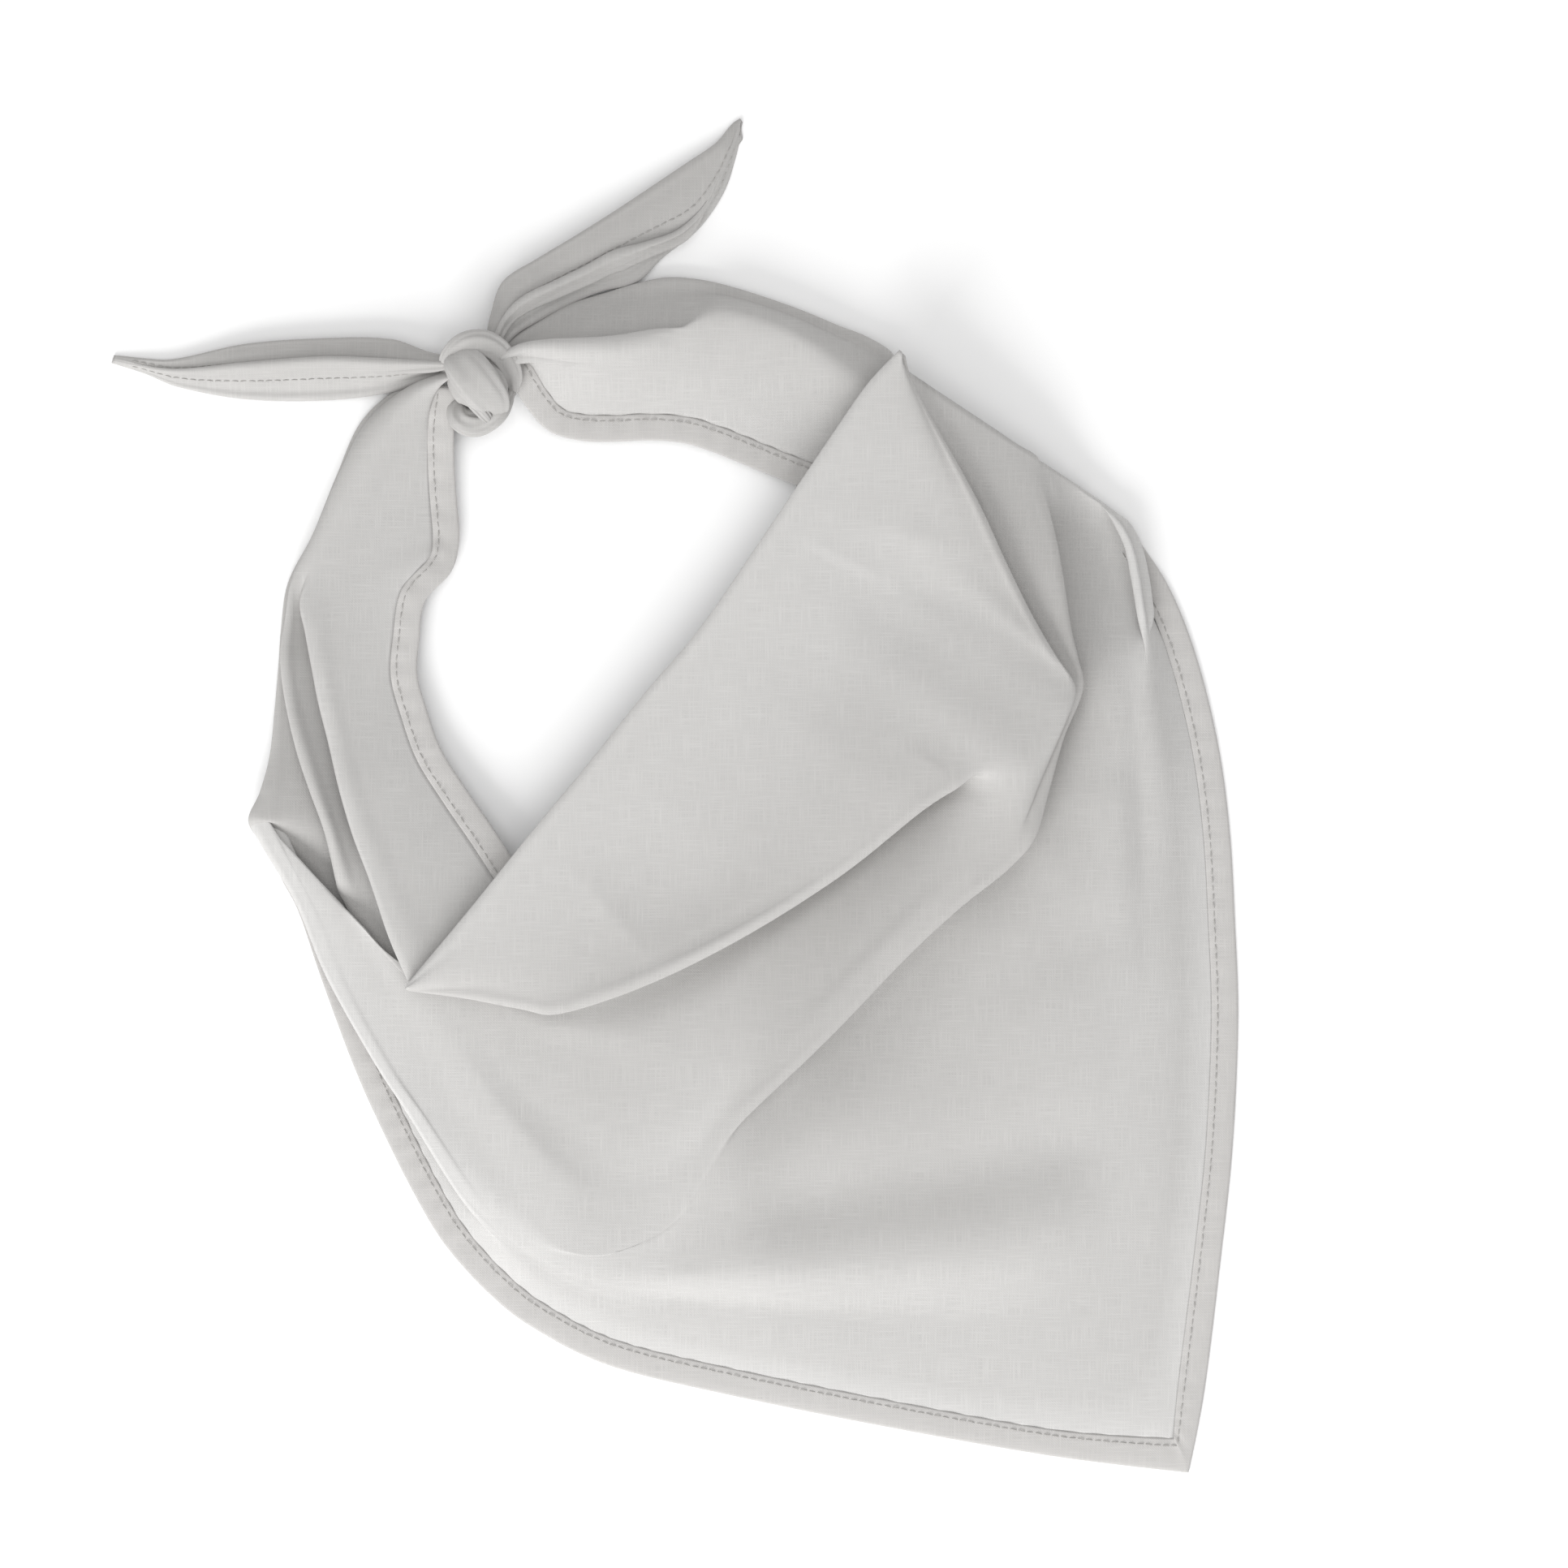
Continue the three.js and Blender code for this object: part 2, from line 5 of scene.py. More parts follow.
import bpy
import numpy as np
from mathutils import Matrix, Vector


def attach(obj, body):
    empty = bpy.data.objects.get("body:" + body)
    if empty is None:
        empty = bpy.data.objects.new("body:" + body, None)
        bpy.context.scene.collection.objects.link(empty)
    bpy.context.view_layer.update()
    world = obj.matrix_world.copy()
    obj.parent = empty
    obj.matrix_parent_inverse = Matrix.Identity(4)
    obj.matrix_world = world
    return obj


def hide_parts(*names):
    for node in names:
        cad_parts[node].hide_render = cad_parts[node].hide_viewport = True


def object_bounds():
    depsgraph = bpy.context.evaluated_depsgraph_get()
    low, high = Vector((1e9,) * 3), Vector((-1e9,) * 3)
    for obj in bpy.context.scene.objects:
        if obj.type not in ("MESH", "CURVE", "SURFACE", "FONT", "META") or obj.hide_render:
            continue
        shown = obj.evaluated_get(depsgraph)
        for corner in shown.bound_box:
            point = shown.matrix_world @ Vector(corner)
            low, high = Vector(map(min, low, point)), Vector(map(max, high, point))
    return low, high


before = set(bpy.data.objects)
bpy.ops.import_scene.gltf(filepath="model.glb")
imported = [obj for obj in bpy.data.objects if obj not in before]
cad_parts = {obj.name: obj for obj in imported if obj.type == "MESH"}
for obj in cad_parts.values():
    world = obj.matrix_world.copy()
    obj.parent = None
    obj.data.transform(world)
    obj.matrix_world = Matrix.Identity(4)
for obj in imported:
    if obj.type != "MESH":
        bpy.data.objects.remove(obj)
cad_low, cad_high = [np.array(corner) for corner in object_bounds()]
spread = cad_high - cad_low

# The table and the camera. The cloth lies on a plain pale table and is seen from straight above,
# from two metres up, so that its folds show almost no perspective.
PICTURE_SIDE = 1932
METRES_PER_PIXEL = 0.000275
PICTURE_CENTRE = (0.0371, 0.0040)
CAMERA_HEIGHT = 2.0
CLOTH_LEVEL = 0.008
TABLE_SIDE = 6.0
TABLE_COLOUR = (0.98, 0.98, 0.98, 1.0)

bpy.ops.object.select_all(action="DESELECT")
bpy.ops.mesh.primitive_plane_add(size=TABLE_SIDE, location=(0, 0, 0))
table = bpy.context.object
table.name = "table"
table_paint = bpy.data.materials.new("table_paint")
table_paint.use_nodes = True
table_shader = table_paint.node_tree.nodes["Principled BSDF"]
table_shader.inputs["Base Color"].default_value = TABLE_COLOUR
table_shader.inputs["Roughness"].default_value = 0.9
table_shader.inputs["Specular IOR Level"].default_value = 0.1
table.data.materials.append(table_paint)

camera_data = bpy.data.cameras.new("overhead_camera")
camera_data.sensor_width = 36.0
half_view = PICTURE_SIDE * METRES_PER_PIXEL / 2
camera_data.lens = camera_data.sensor_width / 2 * (CAMERA_HEIGHT - CLOTH_LEVEL) / half_view
camera = bpy.data.objects.new("overhead_camera", camera_data)
camera.location = (*PICTURE_CENTRE, CAMERA_HEIGHT)
bpy.context.collection.objects.link(camera)
bpy.context.scene.camera = camera

# The light. A large soft panel stands a metre up beyond the lower left of the cloth, with a wide
# weak one high above the cloth and a bright even surround, so that folds shade softly.
SURROUND = (1.0, 1.0, 1.0, 1.0)
SURROUND_STRENGTH = 0.60
PANELS = {
    "side_panel": dict(place=(-0.75, -1.75, 1.0), side=1.3, watts=41),
    "top_panel": dict(place=(0.1, 0.1, 2.4), side=2.2, watts=17),
}
for panel_name, panel in PANELS.items():
    light_data = bpy.data.lights.new(panel_name, "AREA")
    light_data.energy = panel["watts"]
    light_data.size = panel["side"]
    light = bpy.data.objects.new(panel_name, light_data)
    light.location = panel["place"]
    aim = -np.array(panel["place"])
    light.rotation_euler = (
        math.atan2(math.hypot(aim[0], aim[1]), -aim[2]), 0, math.atan2(aim[1], aim[0]) - math.pi / 2)
    bpy.context.collection.objects.link(light)
world = bpy.data.worlds.new("surround")
bpy.context.scene.world = world
world.use_nodes = True
world.node_tree.nodes["Background"].inputs["Color"].default_value = SURROUND
world.node_tree.nodes["Background"].inputs["Strength"].default_value = SURROUND_STRENGTH
bpy.context.scene.view_settings.view_transform = "Standard"

# The drape. The front of the triangle, a light grey plain weave of cotton and polyester about a
# third of a millimetre thick. It hangs in two swags and a body when it is worn, keeps them when it
# is laid down, and is one cloth with the bands, which run under its two shoulders.
CLOTH_THICKNESS = 0.00035
THREAD_PITCH = 0.00042
WEAVE_DEPTH = 0.00006
SLUB_RELIEF = 3.0
SLUB_STREAK = 0.34
MOTTLE_STRENGTH = 0.06
# Painted light and shade: one layer over the pale table is painted lighter, standing in for table light
# that shines through it, and stacked cloth is painted darker; a per-point attribute carries this painted
# shade.
ONE_LAYER_TABLE_LIT = (0.585, 0.578, 0.568, 1.0)
STACKED_LAYER_SHADE = (0.435, 0.426, 0.415, 1.0)


def joined(tree, source, target):
    tree.links.new(source, target)


def maths(tree, operation, first, second):
    node = tree.nodes.new("ShaderNodeMath")
    node.operation = operation
    for socket, value in zip(node.inputs, (first, second)):
        if isinstance(value, (int, float)):
            socket.default_value = value
        else:
            joined(tree, value, socket)
    return node.outputs[0]


# How the noise of the stray threads is stretched, for the threads of each direction.
ALONG_THREADS = (90.0, 2600.0, 1.0)
ACROSS_THREADS = (2600.0, 90.0, 1.0)


def weave_group():
    """Threads over and under each other, and stray thick threads, as a height and a paleness."""
    group = bpy.data.node_groups.new("plain_weave", "ShaderNodeTree")
    group.interface.new_socket("Pitch", in_out="INPUT", socket_type="NodeSocketFloat")
    group.interface.new_socket("Height", in_out="OUTPUT", socket_type="NodeSocketFloat")
    group.interface.new_socket("Slub", in_out="OUTPUT", socket_type="NodeSocketFloat")
    given = group.nodes.new("NodeGroupInput")
    result = group.nodes.new("NodeGroupOutput")
    flat = group.nodes.new("ShaderNodeUVMap")
    flat.uv_map = "flat_cloth"
    parts = group.nodes.new("ShaderNodeSeparateXYZ")
    joined(group, flat.outputs["UV"], parts.inputs[0])
    waves = []
    for axis in ("X", "Y"):
        turn = maths(group, "DIVIDE", parts.outputs[axis], given.outputs["Pitch"])
        waves.append(maths(group, "SINE", maths(group, "MULTIPLY", turn, math.pi), 0.0))
    weave = maths(group, "MULTIPLY", waves[0], waves[1])
    slubs = []
    for stretch in (ALONG_THREADS, ACROSS_THREADS):
        mapping = group.nodes.new("ShaderNodeMapping")
        mapping.inputs["Scale"].default_value = stretch
        joined(group, flat.outputs["UV"], mapping.inputs["Vector"])
        noise = group.nodes.new("ShaderNodeTexNoise")
        noise.inputs["Scale"].default_value = 1.0
        noise.inputs["Detail"].default_value = 1.0
        joined(group, mapping.outputs[0], noise.inputs["Vector"])
        slubs.append(noise.outputs["Fac"])
    slub = maths(group, "SUBTRACT", maths(group, "MAXIMUM", slubs[0], slubs[1]), 0.5)
    joined(group, slub, result.inputs["Slub"])
    relief = maths(group, "MULTIPLY", slub, SLUB_RELIEF)
    joined(group, maths(group, "ADD", weave, relief), result.inputs["Height"])
    return group


plain_weave = weave_group()


def cloth_material(name, table_lit_grey, stacked_shade_grey, weave_depth):
    """Woven cloth whose grey is painted shade, lighter where one layer lies over the table and darker
    over stacked cloth, mottled and with its weave in relief.
    """
    material = bpy.data.materials.new(name)
    material.use_nodes = True
    tree = material.node_tree
    shader = tree.nodes["Principled BSDF"]
    shader.inputs["Roughness"].default_value = 0.78
    shader.inputs["Specular IOR Level"].default_value = 0.25
    shader.inputs["Sheen Weight"].default_value = 0.12
    shader.inputs["Sheen Roughness"].default_value = 0.5
    layer_shade = tree.nodes.new("ShaderNodeAttribute")
    layer_shade.attribute_name = "layer_shade"
    grey = tree.nodes.new("ShaderNodeMix")
    grey.data_type = "RGBA"
    grey.inputs["A"].default_value = table_lit_grey
    grey.inputs["B"].default_value = stacked_shade_grey
    joined(tree, layer_shade.outputs["Fac"], grey.inputs["Factor"])
    weave = tree.nodes.new("ShaderNodeGroup")
    weave.node_tree = plain_weave
    weave.inputs["Pitch"].default_value = THREAD_PITCH
    place = tree.nodes.new("ShaderNodeTexCoord")
    mottle = tree.nodes.new("ShaderNodeTexNoise")
    mottle.inputs["Scale"].default_value = 22.0
    mottle.inputs["Detail"].default_value = 3.0
    joined(tree, place.outputs["Object"], mottle.inputs["Vector"])
    uneven = maths(tree, "SUBTRACT", mottle.outputs["Fac"], 0.5)
    shade = maths(tree, "MULTIPLY", uneven, MOTTLE_STRENGTH)
    streak = maths(tree, "MULTIPLY", weave.outputs["Slub"], SLUB_STREAK)
    gain = maths(tree, "ADD", maths(tree, "ADD", shade, streak), 1.0)
    tinted = tree.nodes.new("ShaderNodeVectorMath")
    tinted.operation = "SCALE"
    joined(tree, grey.outputs["Result"], tinted.inputs[0])
    joined(tree, gain, tinted.inputs["Scale"])
    joined(tree, tinted.outputs["Vector"], shader.inputs["Base Color"])
    bump = tree.nodes.new("ShaderNodeBump")
    bump.inputs["Strength"].default_value = 0.35
    bump.inputs["Distance"].default_value = weave_depth
    joined(tree, weave.outputs["Height"], bump.inputs["Height"])
    joined(tree, bump.outputs["Normal"], shader.inputs["Normal"])
    return material


cloth = cloth_material("layer_shaded_cloth", ONE_LAYER_TABLE_LIT, STACKED_LAYER_SHADE, WEAVE_DEPTH)


def rail(*rows):
    """A fold or an edge of a sheet, which the sheet's sections cross one after another. Columns:
    station, across and along (hundredths of the spread), height (millimetres), fold (millimetres
    of drop behind the fold, negative where the outer layer lies on top) and crown (millimetres
    that the stretch after it swells)."""
    filled = [tuple(row) + (0.0,) * (6 - len(row)) for row in rows]
    return np.array(filled, dtype=float)


def smooth_between(t, start, start_slope, end, end_slope):
    """A smooth curve from start to end with the given slopes, at the share t of the way."""
    return ((2 * t**3 - 3 * t**2 + 1) * start + (t**3 - 2 * t**2 + t) * start_slope
            + (3 * t**2 - 2 * t**3) * end + (t**3 - t**2) * end_slope)


def curve_through(rows, column, stations, corner=None):
    """The column's smooth curve at many stations, with a sharp corner at one of them if told to."""
    at, value = rows[:, 0], rows[:, column]
    slope = np.zeros(len(at))
    slope[1:-1] = (value[2:] - value[:-2]) / (at[2:] - at[:-2])
    slope[0] = (value[1] - value[0]) / (at[1] - at[0])
    slope[-1] = (value[-1] - value[-2]) / (at[-1] - at[-2])
    slope[at == corner] = 0.0
    k = np.clip(np.searchsorted(at, stations, side="right") - 1, 0, len(at) - 2)
    span = at[k + 1] - at[k]
    t = (stations - at[k]) / span
    return smooth_between(t, value[k], span * slope[k], value[k + 1], span * slope[k + 1])


def on_cloth(across, along):
    """A place given in hundredths of the spread, in metres."""
    return cad_low[0] + across * spread[0] / 100, cad_low[1] + along * spread[1] / 100


def run_of(rows, stations, side=1, corner=None):
    """Where a rail runs: its points, its outward direction seen from above, its fold and its crown."""
    x, y = on_cloth(curve_through(rows, 1, stations, corner), curve_through(rows, 2, stations, corner))
    z = np.maximum(curve_through(rows, 3, stations), 0.0) / 1000
    points = np.stack([x, y, z], axis=1)
    ahead = np.gradient(points[:, :2], axis=0)
    ahead /= np.maximum(np.linalg.norm(ahead, axis=1, keepdims=True), 1e-9)
    out = side * np.stack([ahead[:, 1], -ahead[:, 0], np.zeros(len(stations))], axis=1)
    return dict(points=points, out=out, fold=curve_through(rows, 4, stations) / 1000,
                crown=curve_through(rows, 5, stations) / 1000)


def moved(run, distance, drop):
    """A rail's points moved outward and down, kept above the table."""
    place = run["points"] + run["out"] * np.reshape(distance, (-1, 1))
    place[:, 2] = np.maximum(place[:, 2] - drop, CLOTH_THICKNESS)
    return place


FOLD_REACH = 0.0045
FOLD_TUCK = 0.009
FULL_FOLD = 0.8
TURN_RADIUS = 0.0012
ROOM_FOR_REACH = 0.2
ROOM_FOR_TUCK = 0.45
ROOM_FOR_LIP = 0.5


def fold_share(run):
    """How far the fold is turned at each station, from lying open to fully folded."""
    depth = np.abs(run["fold"])
    share = np.clip(depth / (FULL_FOLD * depth.max() + 1e-6), 0, 1)
    return share**2 * (3 - 2 * share)


def folded(run):
    """The cloth over a fold's ridge, back under it and out again on the lower layer."""
    depth = np.abs(run["fold"])
    share = fold_share(run)
    turn = np.minimum(TURN_RADIUS, depth / 4 + 1e-5)
    reach = np.minimum(FOLD_REACH, ROOM_FOR_REACH * run["room"])
    tuck = np.minimum(FOLD_TUCK, ROOM_FOR_TUCK * run["room"] + 0.001)
    lines = [
        (-reach, 0 * turn),
        (-0.3 * reach, 0.25 * turn),
        (0 * reach, turn),
        (-0.3 * reach, 1.8 * turn),
        (-tuck, 0.9 * turn + depth / 2),
        (0.3 * reach - tuck, depth),
    ]
    way = np.where(run["fold"] < 0, -1.0, 1.0)
    rows = []
    for (distance, drop), level in zip(lines, np.linspace(-1.2, 1.2, len(lines))):
        flat = run["points"] + run["along_section"] * (way * level * reach)[:, None]
        turned = moved(run, way * distance, drop)
        rows.append(flat + (turned - flat) * share[:, None])
    on_top = (run["fold"] < 0)[:, None]
    return [np.where(on_top, back, ahead) for ahead, back in zip(rows, rows[::-1])]


def turned_edge(run, side, lip):
    """A border that is folded under and runs back beneath the cloth as a lip."""
    reach = np.minimum(FOLD_REACH, ROOM_FOR_REACH * run["room"])
    steps = [(-1.0, 0.0), (-0.3, 0.25), (0.0, 1.0), (-0.3, 1.8)]
    rows = [moved(run, side * where * reach, drop * TURN_RADIUS) for where, drop in steps]
    back = np.minimum(lip, ROOM_FOR_LIP * run["room"])
    return rows + [moved(run, -side * back, 2 * TURN_RADIUS)]


CELL_POINTS = 3
FOLD_COLUMNS = 6
LIP_COLUMNS = 5
FINENESS = 5


def section_grid(rails, stations, shade_levels, side=1, corner=None, first_lip=0, last_lip=0, evened=0,
                 swells=()):
    """All the sheet's sections, each a smooth curve over its rails, and each point's painted shade,
    from 0 (one layer, lit through by the table) to 1 (darkest, over stacked cloth), as stated for its
    rails."""
    corners = [None] * (len(rails) - 1) + [corner]
    runs = [run_of(rows, stations, side, sharp) for rows, sharp in zip(rails, corners)]
    gaps = [np.linalg.norm(b["points"] - a["points"], axis=1) for a, b in zip(runs, runs[1:])]
    for k, run in enumerate(runs):
        run["room"] = np.minimum(gaps[max(k - 1, 0)], gaps[min(k, len(gaps) - 1)]) + 1e-4
        over = runs[min(k + 1, len(runs) - 1)]["points"] - runs[max(k - 1, 0)]["points"]
        run["along_section"] = over / np.maximum(np.linalg.norm(over, axis=1, keepdims=True), 1e-6)
    columns, shades, held = [], [], []
    last = len(runs) - 1
    for k, run in enumerate(runs):
        if 0 < k < last:
            open_shade_level = (shade_levels[k - 1] + shade_levels[k + 1]) / 2
            shade_level = open_shade_level + (shade_levels[k] - open_shade_level) * fold_share(run)
        else:
            shade_level = shade_levels[k] + 0 * run["fold"]
        if k == 0:
            group = turned_edge(run, -1, first_lip)[::-1] if first_lip else [run["points"]]
        elif k == last:
            group = turned_edge(run, 1, last_lip) if last_lip else [run["points"]]
        else:
            group = folded(run)
        if columns:
            start, end = columns[-1], group[0]
            for i in range(1, CELL_POINTS + 1):
                t = i / (CELL_POINTS + 1)
                columns.append(start + (end - start) * t)
                shades.append(shade_level_before + (shade_level - shade_level_before) * t)
                held.append(0 * run["fold"])
        columns.extend(group)
        shades.extend([shade_level] * len(group))
        shade_level_before = shade_level
        border = k in (0, last)
        grip = 1 + 0 * run["fold"] if border else fold_share(run)
        held.extend([grip] * len(group))
    control = np.stack(columns, axis=1)
    shades = np.stack(shades, axis=1)
    held = np.stack(held, axis=1)[:, :, None]
    held[0] = held[-1] = 1
    for _ in range(evened):
        wide = np.pad(control, ((1, 1), (1, 1), (0, 0)), mode="edge")
        mean = (wide[:-2, 1:-1] + wide[2:, 1:-1] + wide[1:-1, :-2] + wide[1:-1, 2:]) / 4
        control = control * held + mean * (1 - held)
    for k, run in enumerate(runs[:-1]):
        first = stretch_start(k, first_lip)
        for i in range(CELL_POINTS):
            t = (i + 1) / (CELL_POINTS + 1)
            control[:, first + i, 2] += 4 * t * (1 - t) * run["crown"]
    spans = np.maximum(np.linalg.norm(np.diff(control, axis=1), axis=2, keepdims=True), 1e-6)
    steps = np.diff(control, axis=1) / spans
    lead = spans[:, :-1] / (spans[:, :-1] + spans[:, 1:])
    middle = steps[:, :-1] * (1 - lead) + steps[:, 1:] * lead
    slopes = np.concatenate([steps[:, :1], middle, steps[:, -1:]], axis=1)
    pieces, tones = [], []
    for i in range(FINENESS):
        t = i / FINENESS
        pieces.append(smooth_between(t, control[:, :-1], spans * slopes[:, :-1],
                                     control[:, 1:], spans * slopes[:, 1:]))
        tones.append(shades[:, :-1] + (shades[:, 1:] - shades[:, :-1]) * t)
    grid = np.stack(pieces, axis=2).reshape(len(stations), -1, 3)
    grid = np.concatenate([grid, control[:, -1:]], axis=1)
    tone = np.stack(tones, axis=2).reshape(len(stations), -1)
    tone = np.concatenate([tone, shades[:, -1:]], axis=1)
    for swell in swells:
        first = stretch_start(swell["cell"], first_lip) - 2
        chosen = slice(first * FINENESS, (first + CELL_POINTS + 3) * FINENESS)
        grid[:, chosen] = swollen(grid[:, chosen], swell)
    grid[:, :, 2] = np.maximum(grid[:, :, 2], CLOTH_THICKNESS)
    return grid, tone


def stretch_start(k, first_lip):
    """The column where the stretch after rail k begins."""
    first_group = LIP_COLUMNS if first_lip else 1
    return first_group + k * (FOLD_COLUMNS + CELL_POINTS)


SWELL_FADE = 3.5
SWELL_TAPER = 4
BLUNT_ENDS = 0.25


def swollen(part, swell):
    """A stretch of the sheet lifted or sunk softly along a line, which is given by its way (across
    and along in hundredths of the spread), its width and its height in millimetres."""
    way = np.array([on_cloth(across, along) for across, along in swell["way"]])
    runs = np.linalg.norm(np.diff(way, axis=0), axis=1)
    travelled = np.concatenate([[0], np.cumsum(runs)]) / runs.sum()
    nearest = np.full(part.shape[:2], 9.0)
    share = np.zeros(part.shape[:2])
    for k, (start, end) in enumerate(zip(way, way[1:])):
        run = end - start
        t = np.clip(((part[:, :, :2] - start) @ run) / (run @ run), 0, 1)
        distance = np.linalg.norm(part[:, :, :2] - start - t[:, :, None] * run, axis=2)
        closer = distance < nearest
        nearest = np.where(closer, distance, nearest)
        share = np.where(closer, travelled[k] + t * (travelled[k + 1] - travelled[k]), share)
    columns = np.linspace(0, 1, part.shape[1])
    from_side = np.minimum(columns, 1 - columns)
    from_end = np.minimum(share, 1 - share)
    fade = np.sin(math.pi / 2 * np.clip(from_side * SWELL_FADE, 0, 1))**2
    blunt = swell.get("ends", BLUNT_ENDS)
    taper = np.sin(math.pi / 2 * np.clip(from_end * SWELL_TAPER + blunt, 0, 1))
    bell = np.exp(-(nearest / (swell["width"] / 1000))**2)
    lift = swell["height"] / 1000 * bell * fade[None, :] * taper
    part = part.copy()
    part[:, :, 2] = np.maximum(part[:, :, 2] + lift, CLOTH_THICKNESS)
    return part


SOFT_PASSES = 120


def softened(values, grid, place, width):
    """Values over the sheet evened out round a place (hundredths of the spread), out to a width."""
    x, y = on_cloth(*place)
    grip = np.clip(1.5 - np.hypot(grid[1:-1, 1:-1, 0] - x, grid[1:-1, 1:-1, 1] - y) / width, 0, 1)
    values = values.copy()
    for _ in range(SOFT_PASSES):
        mean = (values[:-2, 1:-1] + values[2:, 1:-1] + values[1:-1, :-2] + values[1:-1, 2:]) / 4
        values[1:-1, 1:-1] = values[1:-1, 1:-1] * (1 - grip) + mean * grip
    return values


SKIRT_STEPS = (0.35, 0.7, 1.0)
SKIRT_INSET = 0.002
SKIRT_KEEP = 0.5


def skirted(grid):
    """The grid with a border at its last station that turns down and a little inward."""
    back = grid[-2] - grid[-1]
    back[:, 2] = 0
    back /= np.maximum(np.linalg.norm(back, axis=1, keepdims=True), 1e-9)
    rows = [grid]
    for share in SKIRT_STEPS:
        low = grid[-1] + back * SKIRT_INSET * share**2
        low[:, 2] = grid[-1][:, 2] * (1 + (SKIRT_KEEP - 1) * share)
        rows.append(low[None])
    return np.concatenate(rows)


def cloth_piece(name, points, faces, material, layer_shade=None):
    """An object of rows of points and their faces, smooth, with its flat cloth map and its painted
    shade.
    """
    points = points.reshape(-1, 3)
    mesh = bpy.data.meshes.new(name)
    mesh.from_pydata([tuple(p) for p in points], [], faces)
    mesh.polygons.foreach_set("use_smooth", [True] * len(faces))
    if layer_shade is not None:
        shade = mesh.attributes.new("layer_shade", "FLOAT", "POINT")
        shade.data.foreach_set("value", layer_shade)
    flat = mesh.uv_layers.new(name="flat_cloth")
    corners = np.zeros(len(mesh.loops), dtype=int)
    mesh.loops.foreach_get("vertex_index", corners)
    flat.data.foreach_set("uv", points[corners, :2].reshape(-1))
    mesh.materials.append(material)
    piece = bpy.data.objects.new(name, mesh)
    bpy.context.collection.objects.link(piece)
    return piece


def sheet_mesh(name, grid, layer_shade):
    """A sheet of cloth over the grid, with its thickness."""
    rows, columns = grid.shape[:2]
    faces = []
    for i in range(rows - 1):
        for j in range(columns - 1):
            a = i * columns + j
            faces.append((a, a + columns, a + columns + 1, a + 1))
    piece = cloth_piece(name, grid, faces, cloth, np.clip(layer_shade.reshape(-1), 0, 1))
    bpy.ops.object.select_all(action="DESELECT")
    piece.select_set(True)
    bpy.context.view_layer.objects.active = piece
    centre = grid.shape[1] // 2
    up = np.cross(grid[rows // 2 + 1, centre] - grid[rows // 2, centre],
                  grid[rows // 2, centre + 1] - grid[rows // 2, centre])
    if up[2] < 0:
        piece.data.flip_normals()
    wall = piece.modifiers.new("cloth_thickness", "SOLIDIFY")
    wall.thickness = CLOTH_THICKNESS
    wall.offset = 0.0
    bpy.ops.object.modifier_apply(modifier=wall.name)
    return piece


# The drape's rails run from the left shoulder round the front to the right one. The last one is the
# hem's inner edge up to the station HEM_COVERED. From there the drape comes out over the hem within
# COMES_OUT stations, and lies OVER_HEM millimetres above the hem's line.
DRAPE_STATIONS = 32
TIP_STATION = 18
HEM_WIDTH = 0.009
HEM_COVERED = 28
OVER_HEM = 1.6
COMES_OUT = 1.5

COWL_EDGE = rail(
    (0, 26.4, 36, 25, 0, 1), (4, 32.2, 41.8, 25, 0, 1), (8, 37.7, 47.5, 25, 0, 1),
    (12, 42.5, 52.3, 25, 0, 1), (16, 47.5, 57.5, 25, 0, 1), (20, 52.3, 62.2, 25, 0, 1),
    (24, 57.8, 68.8, 26, 0, 1), (28, 63.9, 76.3, 27, 0, 1), (30, 67, 80, 27, 0, 1),
    (32, 69.8, 82.5, 27, 0, 0))
UPPER_FOLD = rail(
    (0, 26.6, 35.8, 24, 14, 0), (2, 31, 35.2, 23, 13, 0), (4, 36.5, 34.3, 22, 13, 0),
    (6, 39.5, 33.9, 22, 13, 0), (8, 44, 34.9, 22, 13, 0), (10, 49, 36.6, 22, 14, 1),
    (12, 54, 38.7, 23, 15, 2), (14, 59, 41.1, 24, 16, 2), (16, 64, 43.8, 25, 17, 2),
    (17, 66.6, 45.4, 26, 19, 2), (18, 69.1, 47.1, 27, 20, 2), (19, 71.6, 48.8, 28, 20, 2),
    (20, 73.9, 50.1, 28, 17, 2), (21, 76.1, 51, 28, 11, 1), (22, 78.2, 51.7, 28, 6, 0),
    (23, 80.5, 52.8, 28, 2, 0), (24, 82.7, 54.6, 26, 0, 0), (25, 84.6, 56.4, 25, 3, 0),
    (26, 85.5, 58, 24, 8, 0), (27, 83.9, 60, 25, 10, 0), (28, 81.8, 63, 25, 11, 0),
    (29, 79.6, 66.8, 26, 11, 0), (30, 77, 71.5, 27, 11, 0), (31, 73.8, 76.4, 27, 9, 0),
    (32, 70.2, 81.4, 26, 6, 0))
